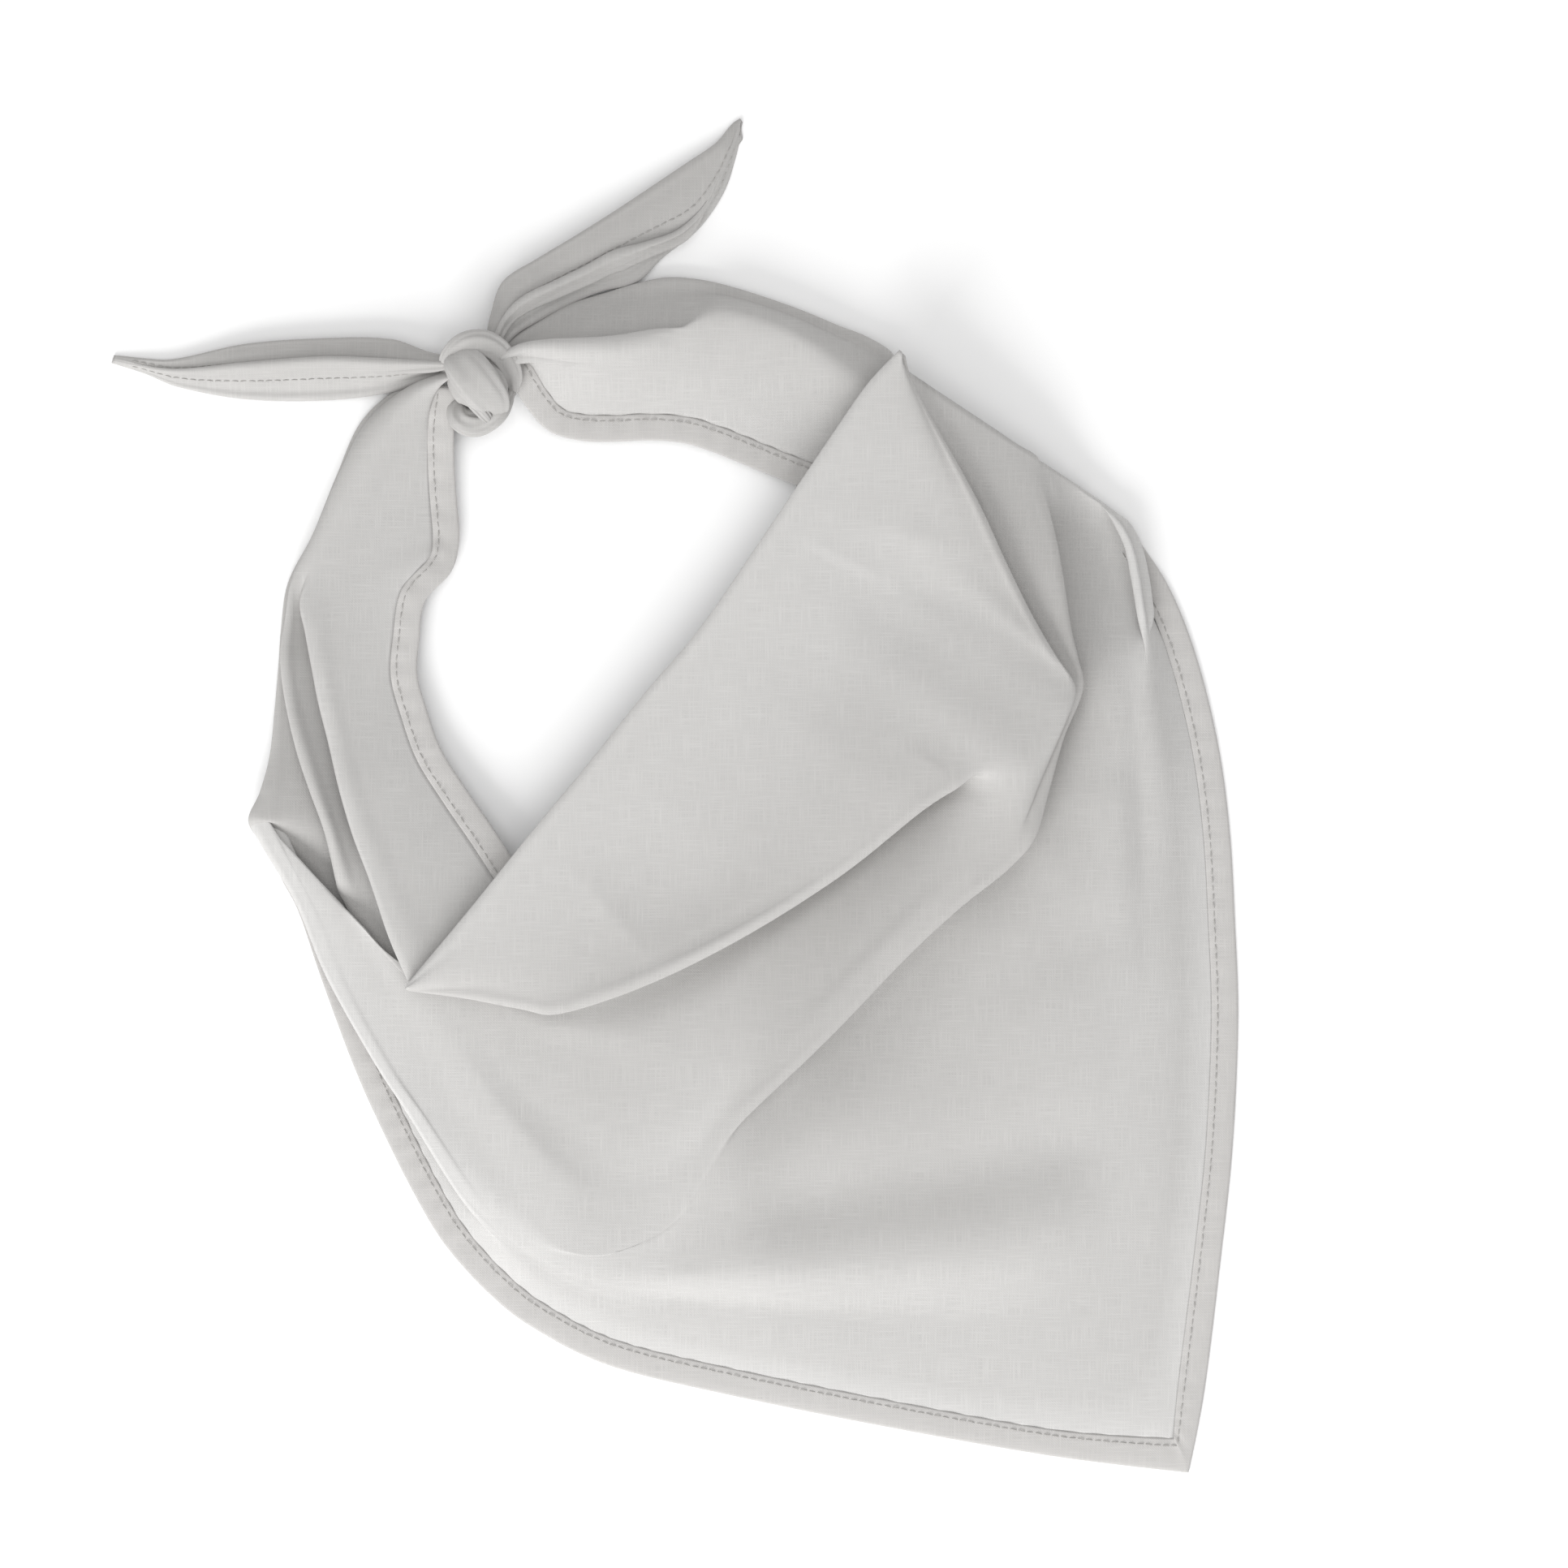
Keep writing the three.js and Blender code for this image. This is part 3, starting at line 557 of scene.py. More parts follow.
LOWER_FOLD = rail(
    (0, 21.5, 41.2, 11, 0, 0), (3, 26.5, 34.5, 10, 0, 0), (6, 32, 27, 9, 0, 0),
    (9, 39, 19, 8, 0, 0), (11, 44, 16, 7, 0, 0), (12, 48, 17.4, 8, 0, 0),
    (13, 51, 19.4, 10, 1.5, 0), (14, 53.4, 22.8, 12, 3.5, 0), (15, 55.8, 25.4, 14, 6, 1),
    (16, 58.5, 27.9, 15, 8, 1), (17, 61.5, 30.4, 16, 9, 1), (18, 64.8, 33.2, 17, 10, 1),
    (19, 68.2, 36.2, 18, 11, 1), (20, 71.6, 39.1, 20, 12, 1), (21, 75.4, 42, 22, 12, 1),
    (22, 79.3, 44.6, 23, 13, 1), (23, 81.7, 46.9, 24, 13, 1), (24, 82.9, 50.2, 23, 13, 1),
    (25, 84.3, 54.3, 21, 12, 1), (26, 86, 57.8, 20, 10, 1), (27, 85.6, 60, 20, 9, 0),
    (28, 85, 62.2, 20, 9, -2), (29, 84.4, 65.6, 20, 9, -4), (30, 83.8, 69, 19, 8, -4),
    (31, 83.2, 72, 17, 5, -2), (32, 81.8, 75, 15, 2, 0))
SIDE_FOLD = rail(
    (0, 12.4, 48, 11, 6, 0), (1, 13.8, 46, 11, 7, 0), (2.5, 16.6, 42, 10, 7, 0),
    (4, 19.1, 36.9, 9, 7, 0), (6, 23.3, 30.6, 9, 7, 0), (8, 26.4, 26.6, 9, 7, 0),
    (10, 30, 21.7, 8, 6, 0), (11, 32.6, 18.5, 6, 3.5, 0), (12, 36.2, 15.6, 4, 1, 0),
    (13, 42, 12.8, 3, 0, 0), (14, 50, 11, 3, 0, 0), (16, 68, 8.5, 2, 0, 0), (18, 88, 7, 2, 0, 0),
    (20, 92.5, 17, 3, 0, 0), (22, 94, 33, 4, 0, 0), (24, 93.6, 46, 5, 0, 0), (25, 93, 52, 7, 0, 0),
    (26, 92.2, 56, 8, -1, 0), (27, 91.5, 60.3, 9, -3, 0), (28, 90.9, 63.5, 10, -6, 0),
    (29, 90.4, 66, 10, -7.5, 0), (30, 89.7, 68.6, 10, -7, 0), (31, 88.2, 70.8, 9, -4, 0),
    (32, 86, 72.6, 8, -0.5, 0))
HEM_EDGE = rail(
    (0, 14.5, 45.5, 1), (1, 15, 44, 0.9), (2.5, 16.6, 41.4, 0.8), (4, 18.6, 36.5, 0.6),
    (6, 21.5, 30, 0.6), (8, 24.3, 24.8, 0.6), (10, 27.5, 19.6, 0.6), (11, 29.8, 16.6, 0.6),
    (12, 33.4, 13.3, 0.6), (13, 37.4, 10.7, 0.6), (14, 44.2, 7.9, 0.6), (15, 55, 5.7, 0.6),
    (16, 69.3, 3.3, 0.6), (17, 83.7, 1.2, 0.6), (18, 95.6, 0, 0.6), (19, 97, 6, 0.6),
    (20, 98.4, 15.4, 0.6), (21, 99.5, 24, 0.6), (22, 100, 33.5, 0.6), (23, 99.7, 41, 0.6),
    (24, 99.3, 47, 0.6), (25, 98.5, 52.5, 0.6), (26, 97.2, 57.6, 0.8), (27, 95.6, 62, 1),
    (28, 93.8, 65.5, 1), (29, 91.9, 68, 1), (30, 90, 70.1, 1), (31, 88.3, 71.4, 1),
    (32, 86.6, 72.4, 1))
DRAPE_SWELLS = (
    dict(cell=0, way=((71, 69), (70, 65), (66, 61), (61, 55), (54, 46), (46, 40)), width=24, height=-5),
    dict(cell=1, way=((42, 33), (40, 27), (37, 19)), width=30, height=-2),
    dict(cell=2, way=((40, 13), (50, 13.5), (64, 15), (80, 17), (90, 20)), width=17, height=3.5),
    dict(cell=2, way=((56, 19), (66, 21), (76, 22.5), (88, 25)), width=12, height=-2),
    dict(cell=2, way=((78, 36), (88, 40), (94, 42)), width=10, height=-1),
    dict(cell=2, way=((93, 36), (91, 44), (89, 52)), width=14, height=2),
)
# The hollow at the end of the lower fold runs out softly round this place, out to this width.
SOFT_PLACES = (((44, 16.5), 0.016),)


def set_in(rows, distance, side=1, corner=None, until=99):
    """A rail that runs beside another, a set distance inside it, with a square corner where it has
    one. Past the station until it comes back out to the other's line and lies over it."""
    parts = 640
    run = run_of(rows, np.linspace(rows[0, 0], rows[-1, 0], parts + 1), side)
    inner = rows.copy()
    for row in inner:
        k = int(round((row[0] - rows[0, 0]) / (rows[-1, 0] - rows[0, 0]) * parts))
        back_out = min(max((row[0] - until) / COMES_OUT, 0), 1)
        reach = distance * (math.sqrt(2) if row[0] == corner else 1) * (1 - back_out)
        row[3] += OVER_HEM * back_out
        row[1] -= run["out"][k][0] * reach / spread[0] * 100
        row[2] -= run["out"][k][1] * reach / spread[1] * 100
    return inner


drape_border = set_in(HEM_EDGE, HEM_WIDTH, 1, TIP_STATION, HEM_COVERED)
drape_stations = np.linspace(0, DRAPE_STATIONS, DRAPE_STATIONS * 6 + 1)
# Painted shade: each rail's shade level paints the drape darker over stacked cloth and lighter where one
# layer lies over the table.
drape_grid, drape_layer_shade = section_grid(
    [COWL_EDGE, UPPER_FOLD, LOWER_FOLD, SIDE_FOLD, drape_border], drape_stations,
    shade_levels=[0.35, 0.9, 1.0, 0.1, 0.05], corner=TIP_STATION, first_lip=0.02, evened=8,
    swells=DRAPE_SWELLS)
for place, width in SOFT_PLACES:
    drape_grid[:, :, 2] = softened(drape_grid[:, :, 2], drape_grid, place, width)
    # The painted shade is evened out round the same place too, out to twice the width.
    drape_layer_shade = softened(drape_layer_shade, drape_grid, place, 2 * width)
drape_grid = skirted(skirted(drape_grid)[::-1])[::-1]
drape_layer_shade = np.pad(drape_layer_shade, ((len(SKIRT_STEPS), len(SKIRT_STEPS)), (0, 0)), mode="edge")
drape = sheet_mesh("draped_front", drape_grid, drape_layer_shade)
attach(drape, "root")
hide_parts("drape")

# The outer hem. The cut edge of the triangle is turned over twice, nine millimetres wide, and
# stitched down, so it is thicker than the cloth beside it and a little puckered. Its grey is
# painted shade: darker than one layer, as less table light shines through the turned cloth.
HEM_SHADED_GREY = (0.505, 0.493, 0.481, 1.0)
HEM_WEAVE_DEPTH = 0.00007
HEM_THICKNESS = 0.0009
HEM_PUCKER = 0.00022
PUCKER_LENGTH = 0.009
PUCKER_DRIFT = 60
# Each row is a share of the way from the inner edge to the outer one and a level in half thicknesses.
HEM_PROFILE = [
    (0.0, 0.75), (0.06, 1.0), (0.3, 1.1), (0.6, 1.15), (0.9, 1.0), (0.98, 0.6), (1.0, 0.0),
    (0.98, -0.6), (0.9, -1.0), (0.5, -1.0), (0.0, -0.75),
]
shaded_hem_cloth = cloth_material("shaded_hem_cloth", HEM_SHADED_GREY, HEM_SHADED_GREY, HEM_WEAVE_DEPTH)


def distance_along(line):
    """How far each point of a line lies from its start, measured along it."""
    return np.concatenate([[0], np.cumsum(np.linalg.norm(np.diff(line, axis=0), axis=1))])


def hem_strip(name, node, edge, side, stations, corner=None):
    """A flat tube of turned cloth beside the cloth's edge, rounded at its outer side."""
    outer = run_of(edge, stations, side, corner)["points"]
    inner = run_of(set_in(edge, HEM_WIDTH, side, corner), stations, side, corner)["points"]
    travelled = distance_along(outer)
    drift = 2 * np.sin(travelled * PUCKER_DRIFT)
    pucker = HEM_PUCKER * np.sin(travelled / PUCKER_LENGTH * 2 * math.pi + drift)
    half = HEM_THICKNESS / 2
    ring = len(HEM_PROFILE)
    rows = []
    for share, level in HEM_PROFILE:
        row = inner + (outer - inner) * share
        swing = pucker * math.sin(math.pi * min(share + 0.25, 1)) if level > 0 else 0 * pucker
        row[:, 2] = np.maximum(row[:, 2] + level * half + swing, 0.0)
        rows.append(row)
    points = np.stack(rows, axis=1)
    count = len(stations)
    faces = []
    for i in range(count - 1):
        for j in range(ring):
            a, b = i * ring + j, i * ring + (j + 1) % ring
            faces.append((a, a + ring, b + ring, b))
    faces.append(tuple(range(ring)))
    faces.append(tuple(range((count - 1) * ring, count * ring))[::-1])
    if side < 0:
        faces = [face[::-1] for face in faces]
    piece = cloth_piece(name, points, faces, shaded_hem_cloth)
    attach(piece, "root")
    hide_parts(node)


hem_stations = np.linspace(0, DRAPE_STATIONS, DRAPE_STATIONS * 12 + 1)
hem_strip("outer_hem", "hem", HEM_EDGE, 1, hem_stations, TIP_STATION)

# The left neck band. The long edge of the triangle, folded over on itself, runs from the knot down
# to the left shoulder and under the drape, with two pleats along its outer side and a pocket of
# cloth at the shoulder.
BAND_STATIONS = 14
BAND_LEFT_NECK = rail(
    (0, 31, 80, 9), (1, 30.5, 77, 7), (2, 30.5, 74, 5), (3, 30.7, 71.5, 4), (4, 30.9, 68.8, 4),
    (5, 30.2, 66.5, 5), (6, 27.9, 64.3, 6), (7, 27.4, 61.5, 6), (8, 27.2, 59, 6), (9, 28, 56.5, 6),
    (10, 29.3, 53.5, 7), (11, 31.5, 50.6, 8), (12, 34, 47.6, 10), (13, 36.2, 44.8, 11),
    (14, 38.5, 42, 12))
BAND_LEFT_FOLD = rail(
    (0, 30.5, 80.8, 14, 0, 0), (1, 27.5, 79.5, 12, 0, 0), (2, 24, 76, 11, 0, 0),
    (3, 21.5, 72, 10, 0, 0), (4, 19, 68.3, 10, 1, 0), (5, 16.8, 65, 11, 5, 0),
    (6, 17.4, 62, 12, 8, -1), (7, 18, 59.4, 13, 9, -1), (8, 18.6, 56.8, 13, 9, -1),
    (9, 19.5, 53.8, 13, 9, -1), (10, 20.4, 50.6, 14, 9, -1), (11, 21.6, 47.2, 14, 9, -1),
    (12, 23.2, 43.7, 15, 10, -1), (13, 24.9, 39.6, 17, 10, 0), (14, 26.6, 36.4, 18, 9, 0))
BAND_LEFT_PLEAT = rail(
    (0, 30, 81.2, 10, 0, 0), (1, 26.6, 80.1, 10, 0, 0), (2, 22.9, 77.3, 9, 0, 0),
    (3, 20.4, 73.6, 9, 0, 0), (4, 18.3, 69.5, 9, 0, 0), (5, 16, 65.9, 10, 2, 0),
    (6, 15.4, 62.4, 10, 5, 0), (7, 15.2, 59.8, 11, 6, 0), (8, 15.6, 57, 11, 6, 0),
    (9, 16.6, 53.4, 12, 7, 0), (10, 17.8, 50.4, 13, 8, 0), (11, 19.1, 47.4, 13, 8, 0),
    (12, 20, 44, 10, 7, 0), (13, 20.6, 41, 4, 3, 0), (14, 22, 37.5, 2, 1, 0))
BAND_LEFT_SIDE = rail(
    (0, 29.8, 81.4, 7), (1, 25.8, 80.2, 4), (2, 22.2, 77.6, 3), (3, 20, 73.6, 3),
    (4, 17.9, 69.3, 3), (5, 15.7, 65.7, 3), (6, 15.1, 62.2, 4), (7, 14.9, 59.6, 5),
    (8, 14.6, 56.5, 6), (9, 14.2, 53, 8), (10, 13.4, 50.3, 11), (11, 12.4, 48.2, 12),
    (12, 13.4, 46.6, 6), (13, 15.8, 44, 1.5), (14, 18.5, 40, 1))
BAND_LEFT_SWELLS = (
    dict(cell=0, way=((28, 77), (25.5, 73), (24.5, 68)), width=8, height=-3, ends=0),
    dict(cell=0, way=((24, 77), (21.5, 70), (21, 62), (22.5, 53), (26, 42)), width=12, height=3, ends=0),
)
band_stations = np.linspace(0, BAND_STATIONS, BAND_STATIONS * 9 + 1)
left_border = set_in(BAND_LEFT_NECK, HEM_WIDTH, -1)
# Painted shade: each rail's shade level paints the band darker towards its outer pleats, over stacked
# cloth.
left_grid, left_layer_shade = section_grid(
    [left_border, BAND_LEFT_FOLD, BAND_LEFT_PLEAT, BAND_LEFT_SIDE], band_stations,
    shade_levels=[0.45, 0.55, 0.8, 0.9], last_lip=0.01, evened=12, swells=BAND_LEFT_SWELLS)
left_band = sheet_mesh("left_neck_band", left_grid, left_layer_shade)
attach(left_band, "root")
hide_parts("band_left")

# The left neck hem. The cut edge of the same cloth along the neck opening, from the knot down to the
# drape, turned over twice and stitched down like the outer hem.
hem_strip("left_neck_hem", "hem_neck_left", BAND_LEFT_NECK, -1, band_stations)

# The right neck band. The other end of the long edge, from the knot over to the right shoulder,
# with one soft fold along it, which stands up beside the knot.
BAND_RIGHT_NECK = rail(
    (0, 34.8, 81.5, 10), (1, 35.6, 80.4, 9), (2, 36.8, 78.7, 7), (3, 38.8, 76.9, 5),
    (4, 41.5, 76.2, 4), (5, 44.5, 76.1, 4), (6, 47.8, 76.2, 4), (7, 50.8, 76, 4),
    (8, 53.5, 75.3, 4), (9, 56.2, 74.4, 4), (10, 58.8, 73.5, 5), (11, 61.2, 72.7, 6),
    (12, 63, 71.9, 7), (13, 64.8, 71, 8), (14, 66.5, 70, 8))
BAND_RIGHT_CREST = rail(
    (0, 34.5, 82.3, 18, 4, 0), (1, 36.5, 83.1, 19, 5, 0), (2, 38.8, 83.4, 20, 6, 0),
    (3, 41.3, 83.5, 20, 6, 0), (4, 43.8, 83.6, 20, 6, 0), (5, 46.3, 83.9, 19, 5, 0),
    (6, 49, 84.4, 18, 4, 0), (7, 51.8, 85, 17, 2, 0), (8, 54.5, 85.4, 16, 0, 0),
    (10, 60, 84, 15, 0, 0), (12, 65, 81, 17, 0, 0), (14, 69, 77.5, 18, 0, 0))
BAND_RIGHT_TOP = rail(
    (0, 34.5, 83, 9), (1, 36.5, 84.2, 8), (2, 38.5, 85.2, 7), (3, 41, 86.3, 6), (4, 44, 87.1, 5),
    (5, 46.8, 87.8, 5), (6, 49.5, 88.2, 5), (7, 52.5, 88, 5), (8, 55.5, 87.4, 5),
    (9, 58.5, 86.6, 5), (10, 61.5, 85.7, 5), (11, 64.3, 84.7, 6), (12, 67, 83.8, 7),
    (13, 69.2, 82.6, 9), (14, 70, 81, 10))
right_border = set_in(BAND_RIGHT_NECK, HEM_WIDTH, 1)
# Painted shade: each rail's shade level paints the band darker towards its top edge, over stacked cloth.
right_grid, right_layer_shade = section_grid(
    [right_border, BAND_RIGHT_CREST, BAND_RIGHT_TOP], band_stations,
    shade_levels=[0.5, 0.6, 0.8], side=-1, last_lip=0.01, evened=12)
right_band = sheet_mesh("right_neck_band", right_grid, right_layer_shade)
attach(right_band, "root")
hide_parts("band_right")

# The right neck hem. The same turned and stitched edge on the other side of the neck opening, from
# the knot over to the drape.
hem_strip("right_neck_hem", "hem_neck_right", BAND_RIGHT_NECK, 1, band_stations)

# The tails. The two ends of the long edge, which come out of the knot folded lengthwise and taper
# to a point, with their stitched hems showing.
TAIL_RIGHT_UPPER = rail(
    (0, 33.2, 83, 10), (1, 33.8, 85.5, 10), (2, 34.9, 87.9, 9), (3, 38, 89.6, 8),
    (4, 41.2, 91.2, 8), (5, 44.6, 93, 7), (6, 48, 94.9, 6), (7, 51, 96.6, 5), (8, 53.6, 98.1, 4),
    (9, 55, 99.5, 2), (10, 55.8, 100, 1))
TAIL_RIGHT_FOLD = rail(
    (0, 33.6, 82.5, 15, 2, 0), (1, 34.8, 85, 14, 3, 1), (2, 36.5, 86.6, 13, 4, 1),
    (3, 39.3, 87.8, 12, 4, 1), (4, 42, 88.9, 11, 4, 1), (5, 44.6, 90.1, 10, 4, 1),
    (6, 47.6, 90.8, 9, 4, 1), (7, 50.5, 91.8, 7, 3, 1), (8, 53, 94, 5, 1, 0),
    (9, 54.8, 97.3, 3, 0, 0), (10, 55.8, 99.4, 1.2, 0, 0))
TAIL_RIGHT_LOWER = rail(
    (0, 34.2, 82, 12), (1, 35.8, 83.8, 10), (2, 38, 85, 8), (3, 40.6, 86.2, 6), (4, 43.5, 87.2, 5),
    (5, 46.6, 87.9, 4), (6, 49, 89.8, 3), (7, 52, 91.8, 2), (8, 54.2, 94.4, 2), (9, 55.3, 97, 1),
    (10, 55.8, 98.8, 1))
TAIL_LEFT_UPPER = rail(
    (0, 31.5, 82.3, 10), (1, 28.5, 82.6, 8), (2, 25, 83.6, 7), (4, 19, 83.7, 6), (6, 12, 83.3, 5),
    (8, 5.5, 82.2, 3), (9, 2.5, 82.3, 2), (10, 0.2, 82.5, 1))
TAIL_LEFT_FOLD = rail(
    (0, 31.5, 81.8, 15, 1, 0), (1, 28.5, 81.9, 13, 3, 1), (2, 25, 82.1, 12, 4, 1),
    (4, 19, 82.3, 10, 4, 1), (6, 12, 81.9, 8, 3, 1), (8, 5.5, 81.5, 4, 2, 0),
    (10, 0.1, 82.2, 1.2, 0, 0))
TAIL_LEFT_LOWER = rail(
    (0, 31.5, 81.2, 10), (1, 28.5, 80.7, 7), (2, 25, 79.8, 5), (4, 19, 79.2, 4), (6, 12, 79.3, 3),
    (8, 6, 80.2, 2), (9, 3, 81.2, 1), (10, 0, 82, 1))
TAIL_STATIONS = 10
tail_stations = np.linspace(0, TAIL_STATIONS, TAIL_STATIONS * 9 + 1)
tail_grids = {}
for tail_name, node, rails, side in (
        ("right_tail", "tail_right", [TAIL_RIGHT_LOWER, TAIL_RIGHT_FOLD, TAIL_RIGHT_UPPER], -1),
        ("left_tail", "tail_left", [TAIL_LEFT_LOWER, TAIL_LEFT_FOLD, TAIL_LEFT_UPPER], 1)):
    # Painted shade: each rail's shade level paints the tail darker towards its upper edge.
    tail_grid, tail_layer_shade = section_grid(
        rails, tail_stations, shade_levels=[0.75, 0.9, 1.0], side=side, first_lip=0.004, last_lip=0.006)
    tail_grids[tail_name] = tail_grid
    tail = sheet_mesh(tail_name, tail_grid, tail_layer_shade)
    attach(tail, "root")
    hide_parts(node)

# The knot. A single overhand knot of the two ends, pulled firm: one turn of cloth crosses the front
# from the upper left to the lower right, another goes over the top, and both are creased lengthwise.
KNOT_TURNS = {
    "knot_core": dict(
        way=((31.6, 82.4, 9), (32.2, 81, 11), (33.2, 79.8, 11), (33.8, 78.6, 9)),
        width=19, thickness=15, creases=0.03),
    "knot_top_turn": dict(
        way=((30, 80.8, 6), (30.2, 81.9, 13), (31.5, 82.9, 17), (33.2, 83.1, 18), (34.7, 82.4, 16),
             (35.7, 81, 13), (35.8, 79.8, 8)),
        width=9.5, thickness=5, creases=0.05),
    "knot_front_turn": dict(
        way=((30.4, 82.8, 9), (31.1, 82, 18), (32.1, 81, 21), (33.2, 79.8, 21), (34.1, 78.8, 17),
             (34.4, 77.9, 9)),
        width=14.5, thickness=5, creases=0.04),
    "knot_front_hem": dict(
        way=((30, 81.8, 12), (30.7, 80.7, 18), (31.9, 79.3, 19), (33.2, 78, 16), (33.7, 77.5, 10)),
        width=4.5, thickness=3.5, creases=0.1),
    "knot_back_turn": dict(
        way=((31.6, 79.6, 6), (30.9, 78.5, 8), (31.4, 77.6, 10), (32.8, 77.4, 10), (34.4, 78.2, 11),
             (35.6, 79.8, 8)),
        width=8.5, thickness=6, creases=0.08),
}
TURN_RINGS = 49
TURN_SIDES = 48
TURN_SQUARENESS = 0.8
TURN_FULLNESS = 0.4
TURN_END_SIZE = 0.2
# Painted shade: the knot's turns are painted nearly as dark as stacked cloth.
TURN_SHADE_LEVEL = 0.9


def rounded(value):
    """A cosine or sine drawn out, so that a turn is fuller than an ellipse."""
    return math.copysign(abs(value)**TURN_SQUARENESS, value)


def turn_mesh(name, turn):
    """A flattened strand of cloth along its way, with lengthwise creases and ends that tuck in."""
    way = np.array([(*on_cloth(a, b), height / 1000) for a, b, height in turn["way"]])
    rows = np.column_stack([np.arange(len(way)), way])
    along = np.linspace(0, len(way) - 1, TURN_RINGS)
    centre = np.stack([curve_through(rows, k, along) for k in (1, 2, 3)], axis=1)
    ahead = np.gradient(centre, axis=0)
    ahead /= np.linalg.norm(ahead, axis=1, keepdims=True)
    across = np.stack([ahead[:, 1], -ahead[:, 0], 0 * along], axis=1)
    across /= np.linalg.norm(across, axis=1, keepdims=True)
    up = np.cross(across, ahead)
    share = along / along[-1]
    bulge = np.sin(math.pi * np.clip(share, 0.03, 0.97))
    swell = np.clip(bulge**TURN_FULLNESS, TURN_END_SIZE, 1)
    points = []
    for k in range(TURN_SIDES):
        angle = 2 * math.pi * k / TURN_SIDES
        coarse = np.sin(7 * angle + 3 * share)
        fine = np.sin(11 * angle + 2 - 4 * share)
        size = swell * (1 + turn["creases"] * (coarse + 0.7 * fine))
        wide = turn["width"] / 2000 * size * rounded(math.cos(angle))
        high = turn["thickness"] / 2000 * size * rounded(math.sin(angle))
        points.append(centre + across * wide[:, None] + up * high[:, None])
    points = np.stack(points, axis=1)
    faces = []
    for i in range(TURN_RINGS - 1):
        for k in range(TURN_SIDES):
            a, b = i * TURN_SIDES + k, i * TURN_SIDES + (k + 1) % TURN_SIDES
            faces.append((a, a + TURN_SIDES, b + TURN_SIDES, b))
    faces.append(tuple(range(TURN_SIDES)))
    faces.append(tuple(range((TURN_RINGS - 1) * TURN_SIDES, TURN_RINGS * TURN_SIDES))[::-1])
    piece = cloth_piece(name, points, faces, cloth, [TURN_SHADE_LEVEL] * (TURN_RINGS * TURN_SIDES))
    bpy.context.view_layer.objects.active = piece
    bpy.ops.object.select_all(action="DESELECT")
    piece.select_set(True)
    bpy.ops.object.mode_set(mode="EDIT")
    bpy.ops.mesh.select_all(action="SELECT")
    bpy.ops.mesh.normals_make_consistent(inside=False)
    bpy.ops.object.mode_set(mode="OBJECT")
    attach(piece, "root")
    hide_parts("knot")


for turn_name, turn in KNOT_TURNS.items():
    turn_mesh(turn_name, turn)

# The stitching. A lock stitch in grey thread holds every hem down, about nine stitches to an inch,
# just inside the inner edge of the hem. The tails show two rows each, where their hems lie.
STITCH_LENGTH = 0.0023
STITCH_STEP = 0.0029
STITCH_RADIUS = 0.00016
STITCH_SLANT = 0.00012
STITCH_WANDER = 2.4
STITCH_SIDES = 6
# Each ring is a share of the stitch, a size and a lift in thread radii.
STITCH_RINGS = ((0.0, 0.35, -1.2), (0.12, 0.9, -0.2), (0.5, 1.0, 0.45), (0.88, 0.9, -0.2),
                (1.0, 0.35, -1.2))
THREAD_GREY = (0.30, 0.29, 0.28, 1.0)
THREAD_LIGHT = (0.50, 0.49, 0.47, 1.0)
thread = bpy.data.materials.new("stitch_thread")
thread.use_nodes = True
thread_tree = thread.node_tree
thread_shader = thread_tree.nodes["Principled BSDF"]
thread_shader.inputs["Roughness"].default_value = 0.6
twist = thread_tree.nodes.new("ShaderNodeTexNoise")
twist.inputs["Scale"].default_value = 700.0
thread_place = thread_tree.nodes.new("ShaderNodeTexCoord")
joined(thread_tree, thread_place.outputs["Object"], twist.inputs["Vector"])
tones = thread_tree.nodes.new("ShaderNodeMix")
tones.data_type = "RGBA"
tones.inputs["A"].default_value = THREAD_GREY
tones.inputs["B"].default_value = THREAD_LIGHT
joined(thread_tree, twist.outputs["Fac"], tones.inputs["Factor"])
joined(thread_tree, tones.outputs["Result"], thread_shader.inputs["Base Color"])


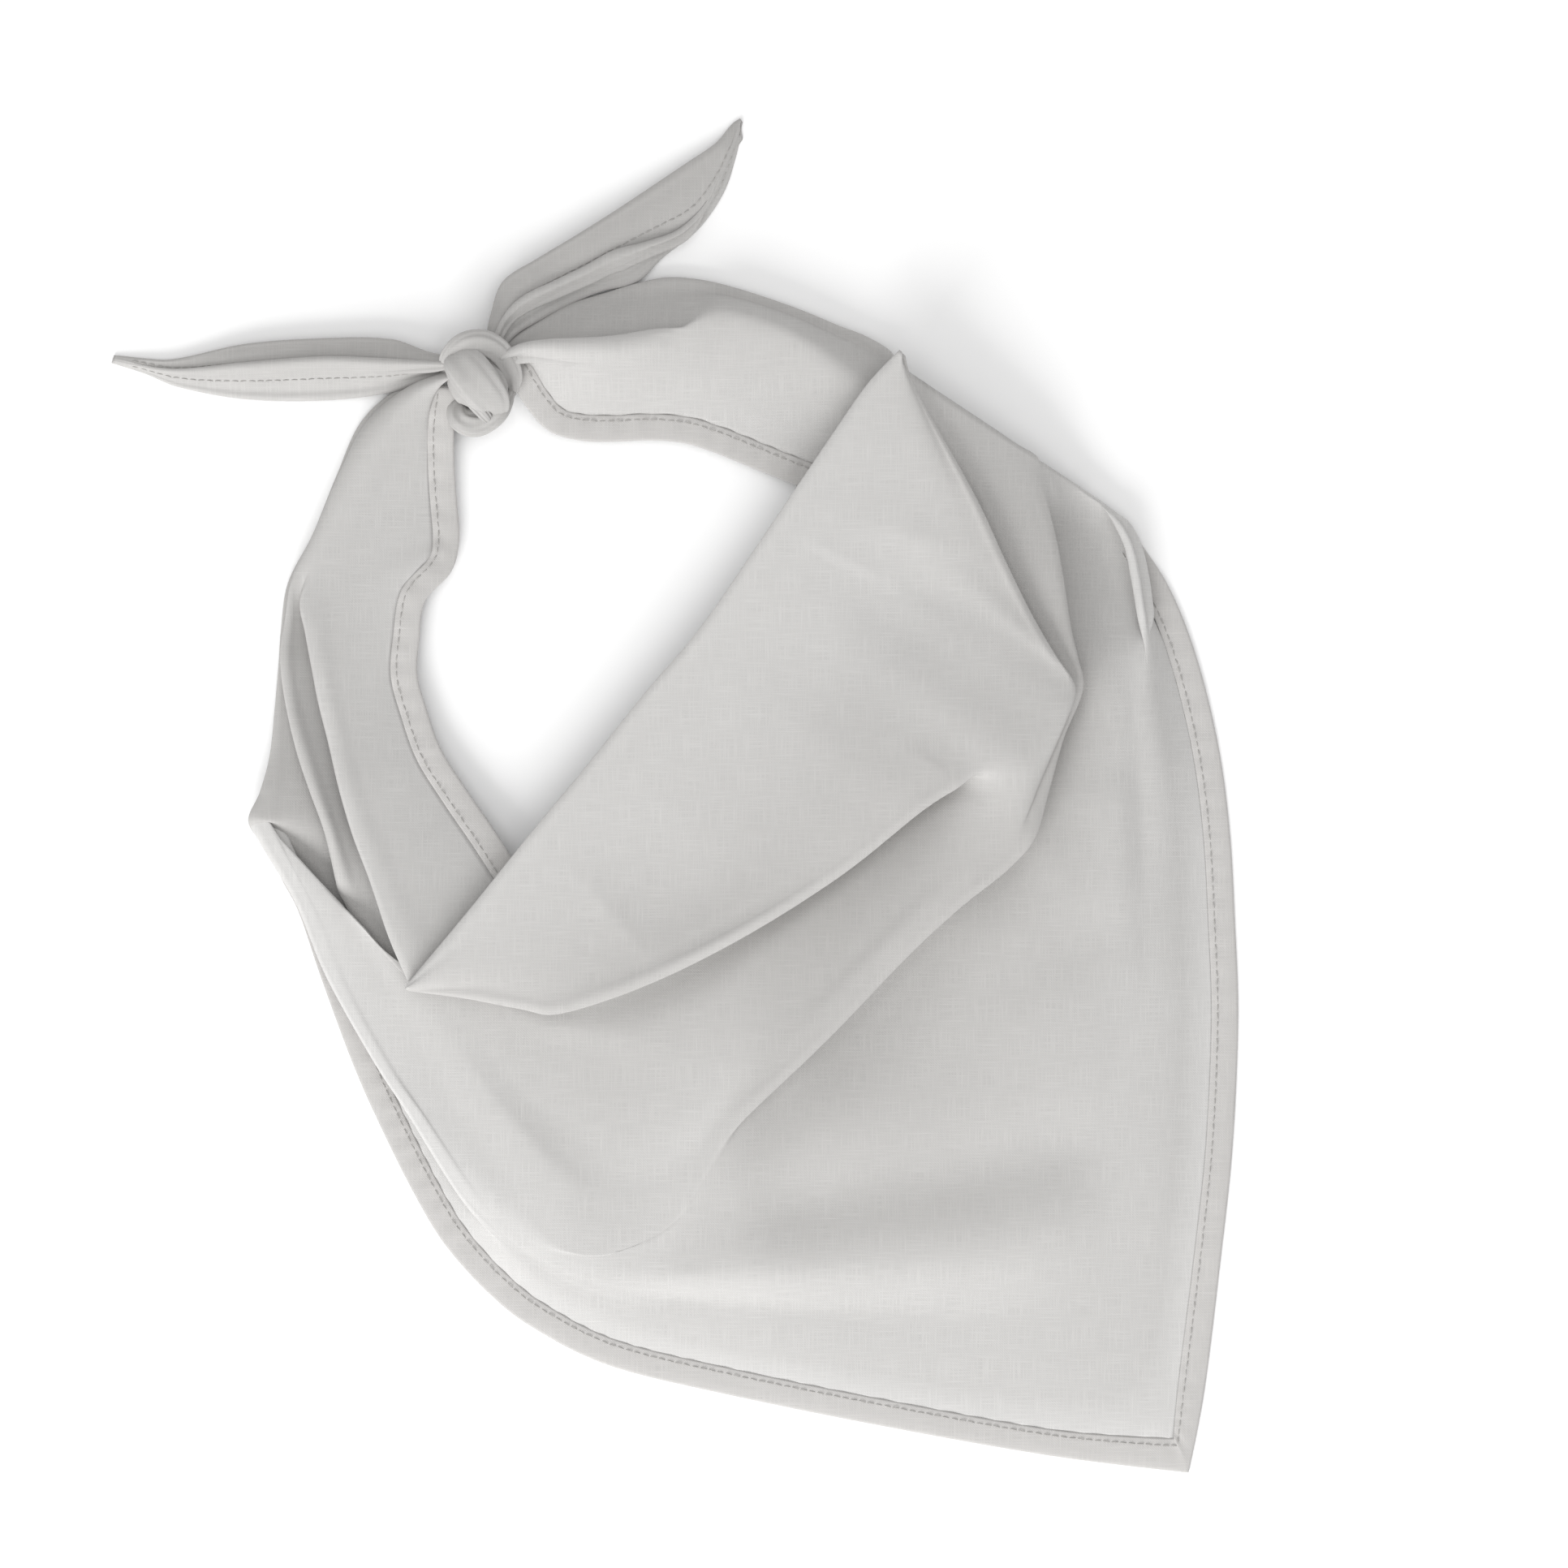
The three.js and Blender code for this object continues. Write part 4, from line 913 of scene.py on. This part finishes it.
def stitched(name, line):
    """Stitches one after another along a line of points, each a short rounded stretch of thread."""
    travelled = distance_along(line)
    starts = np.arange(STITCH_STEP, travelled[-1] - STITCH_STEP, STITCH_STEP)
    points, faces = [], []
    for k, start in enumerate(starts):
        base = len(points)
        ends = (start, start + STITCH_LENGTH)
        head, tail = np.stack([np.interp(ends, travelled, line[:, axis]) for axis in range(3)], axis=1)
        run = (tail - head) / np.linalg.norm(tail - head)
        across = np.array([run[1], -run[0], 0.0])
        slant = STITCH_SLANT * math.sin(k * STITCH_WANDER)
        for share, size, lift in STITCH_RINGS:
            middle = head + (tail - head) * share + np.array([0, 0, lift * STITCH_RADIUS])
            middle = middle + across * slant * (share - 0.5) * 2
            for j in range(STITCH_SIDES):
                angle = 2 * math.pi * j / STITCH_SIDES
                spoke = across * math.cos(angle) + np.array([0, 0, math.sin(angle)])
                points.append(tuple(middle + size * STITCH_RADIUS * spoke))
        for i in range(len(STITCH_RINGS) - 1):
            for j in range(STITCH_SIDES):
                a = base + i * STITCH_SIDES + j
                b = base + i * STITCH_SIDES + (j + 1) % STITCH_SIDES
                faces.append((a, b, b + STITCH_SIDES, a + STITCH_SIDES))
        end = base + (len(STITCH_RINGS) - 1) * STITCH_SIDES
        faces.append(tuple(range(base, base + STITCH_SIDES))[::-1])
        faces.append(tuple(range(end, end + STITCH_SIDES)))
    mesh = bpy.data.meshes.new(name)
    mesh.from_pydata(points, [], faces)
    mesh.polygons.foreach_set("use_smooth", [True] * len(faces))
    mesh.materials.append(thread)
    piece = bpy.data.objects.new(name, mesh)
    bpy.context.collection.objects.link(piece)
    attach(piece, "root")


SEAM_INSET = 0.0070
SEAM_LIFT = 0.0007
SEAM_ENDS = 4
# Each seam of a tail runs at a share of the way across it.
TAIL_SEAMS = (
    ("right_tail_edge_stitches", tail_grids["right_tail"], 0.70),
    ("right_tail_fold_stitches", tail_grids["right_tail"], 0.27),
    ("left_tail_edge_stitches", tail_grids["left_tail"], 0.70),
    ("left_tail_fold_stitches", tail_grids["left_tail"], 0.27),
)
for seam_name, edge, side, last, corner in (
        ("outer_hem_stitches", HEM_EDGE, 1, DRAPE_STATIONS, TIP_STATION),
        ("left_neck_stitches", BAND_LEFT_NECK, -1, BAND_STATIONS, None),
        ("right_neck_stitches", BAND_RIGHT_NECK, 1, BAND_STATIONS, None)):
    seam_stations = np.linspace(0, last, last * 12 + 1)
    seam = run_of(set_in(edge, SEAM_INSET, side, corner), seam_stations, side, corner)["points"]
    seam[:, 2] += SEAM_LIFT
    stitched(seam_name, seam)

for seam_name, surface, share in TAIL_SEAMS:
    column = int(round(share * (surface.shape[1] - 1)))
    seam = surface[SEAM_ENDS:-SEAM_ENDS, column] + np.array([0, 0, SEAM_LIFT / 2])
    stitched(seam_name, seam)
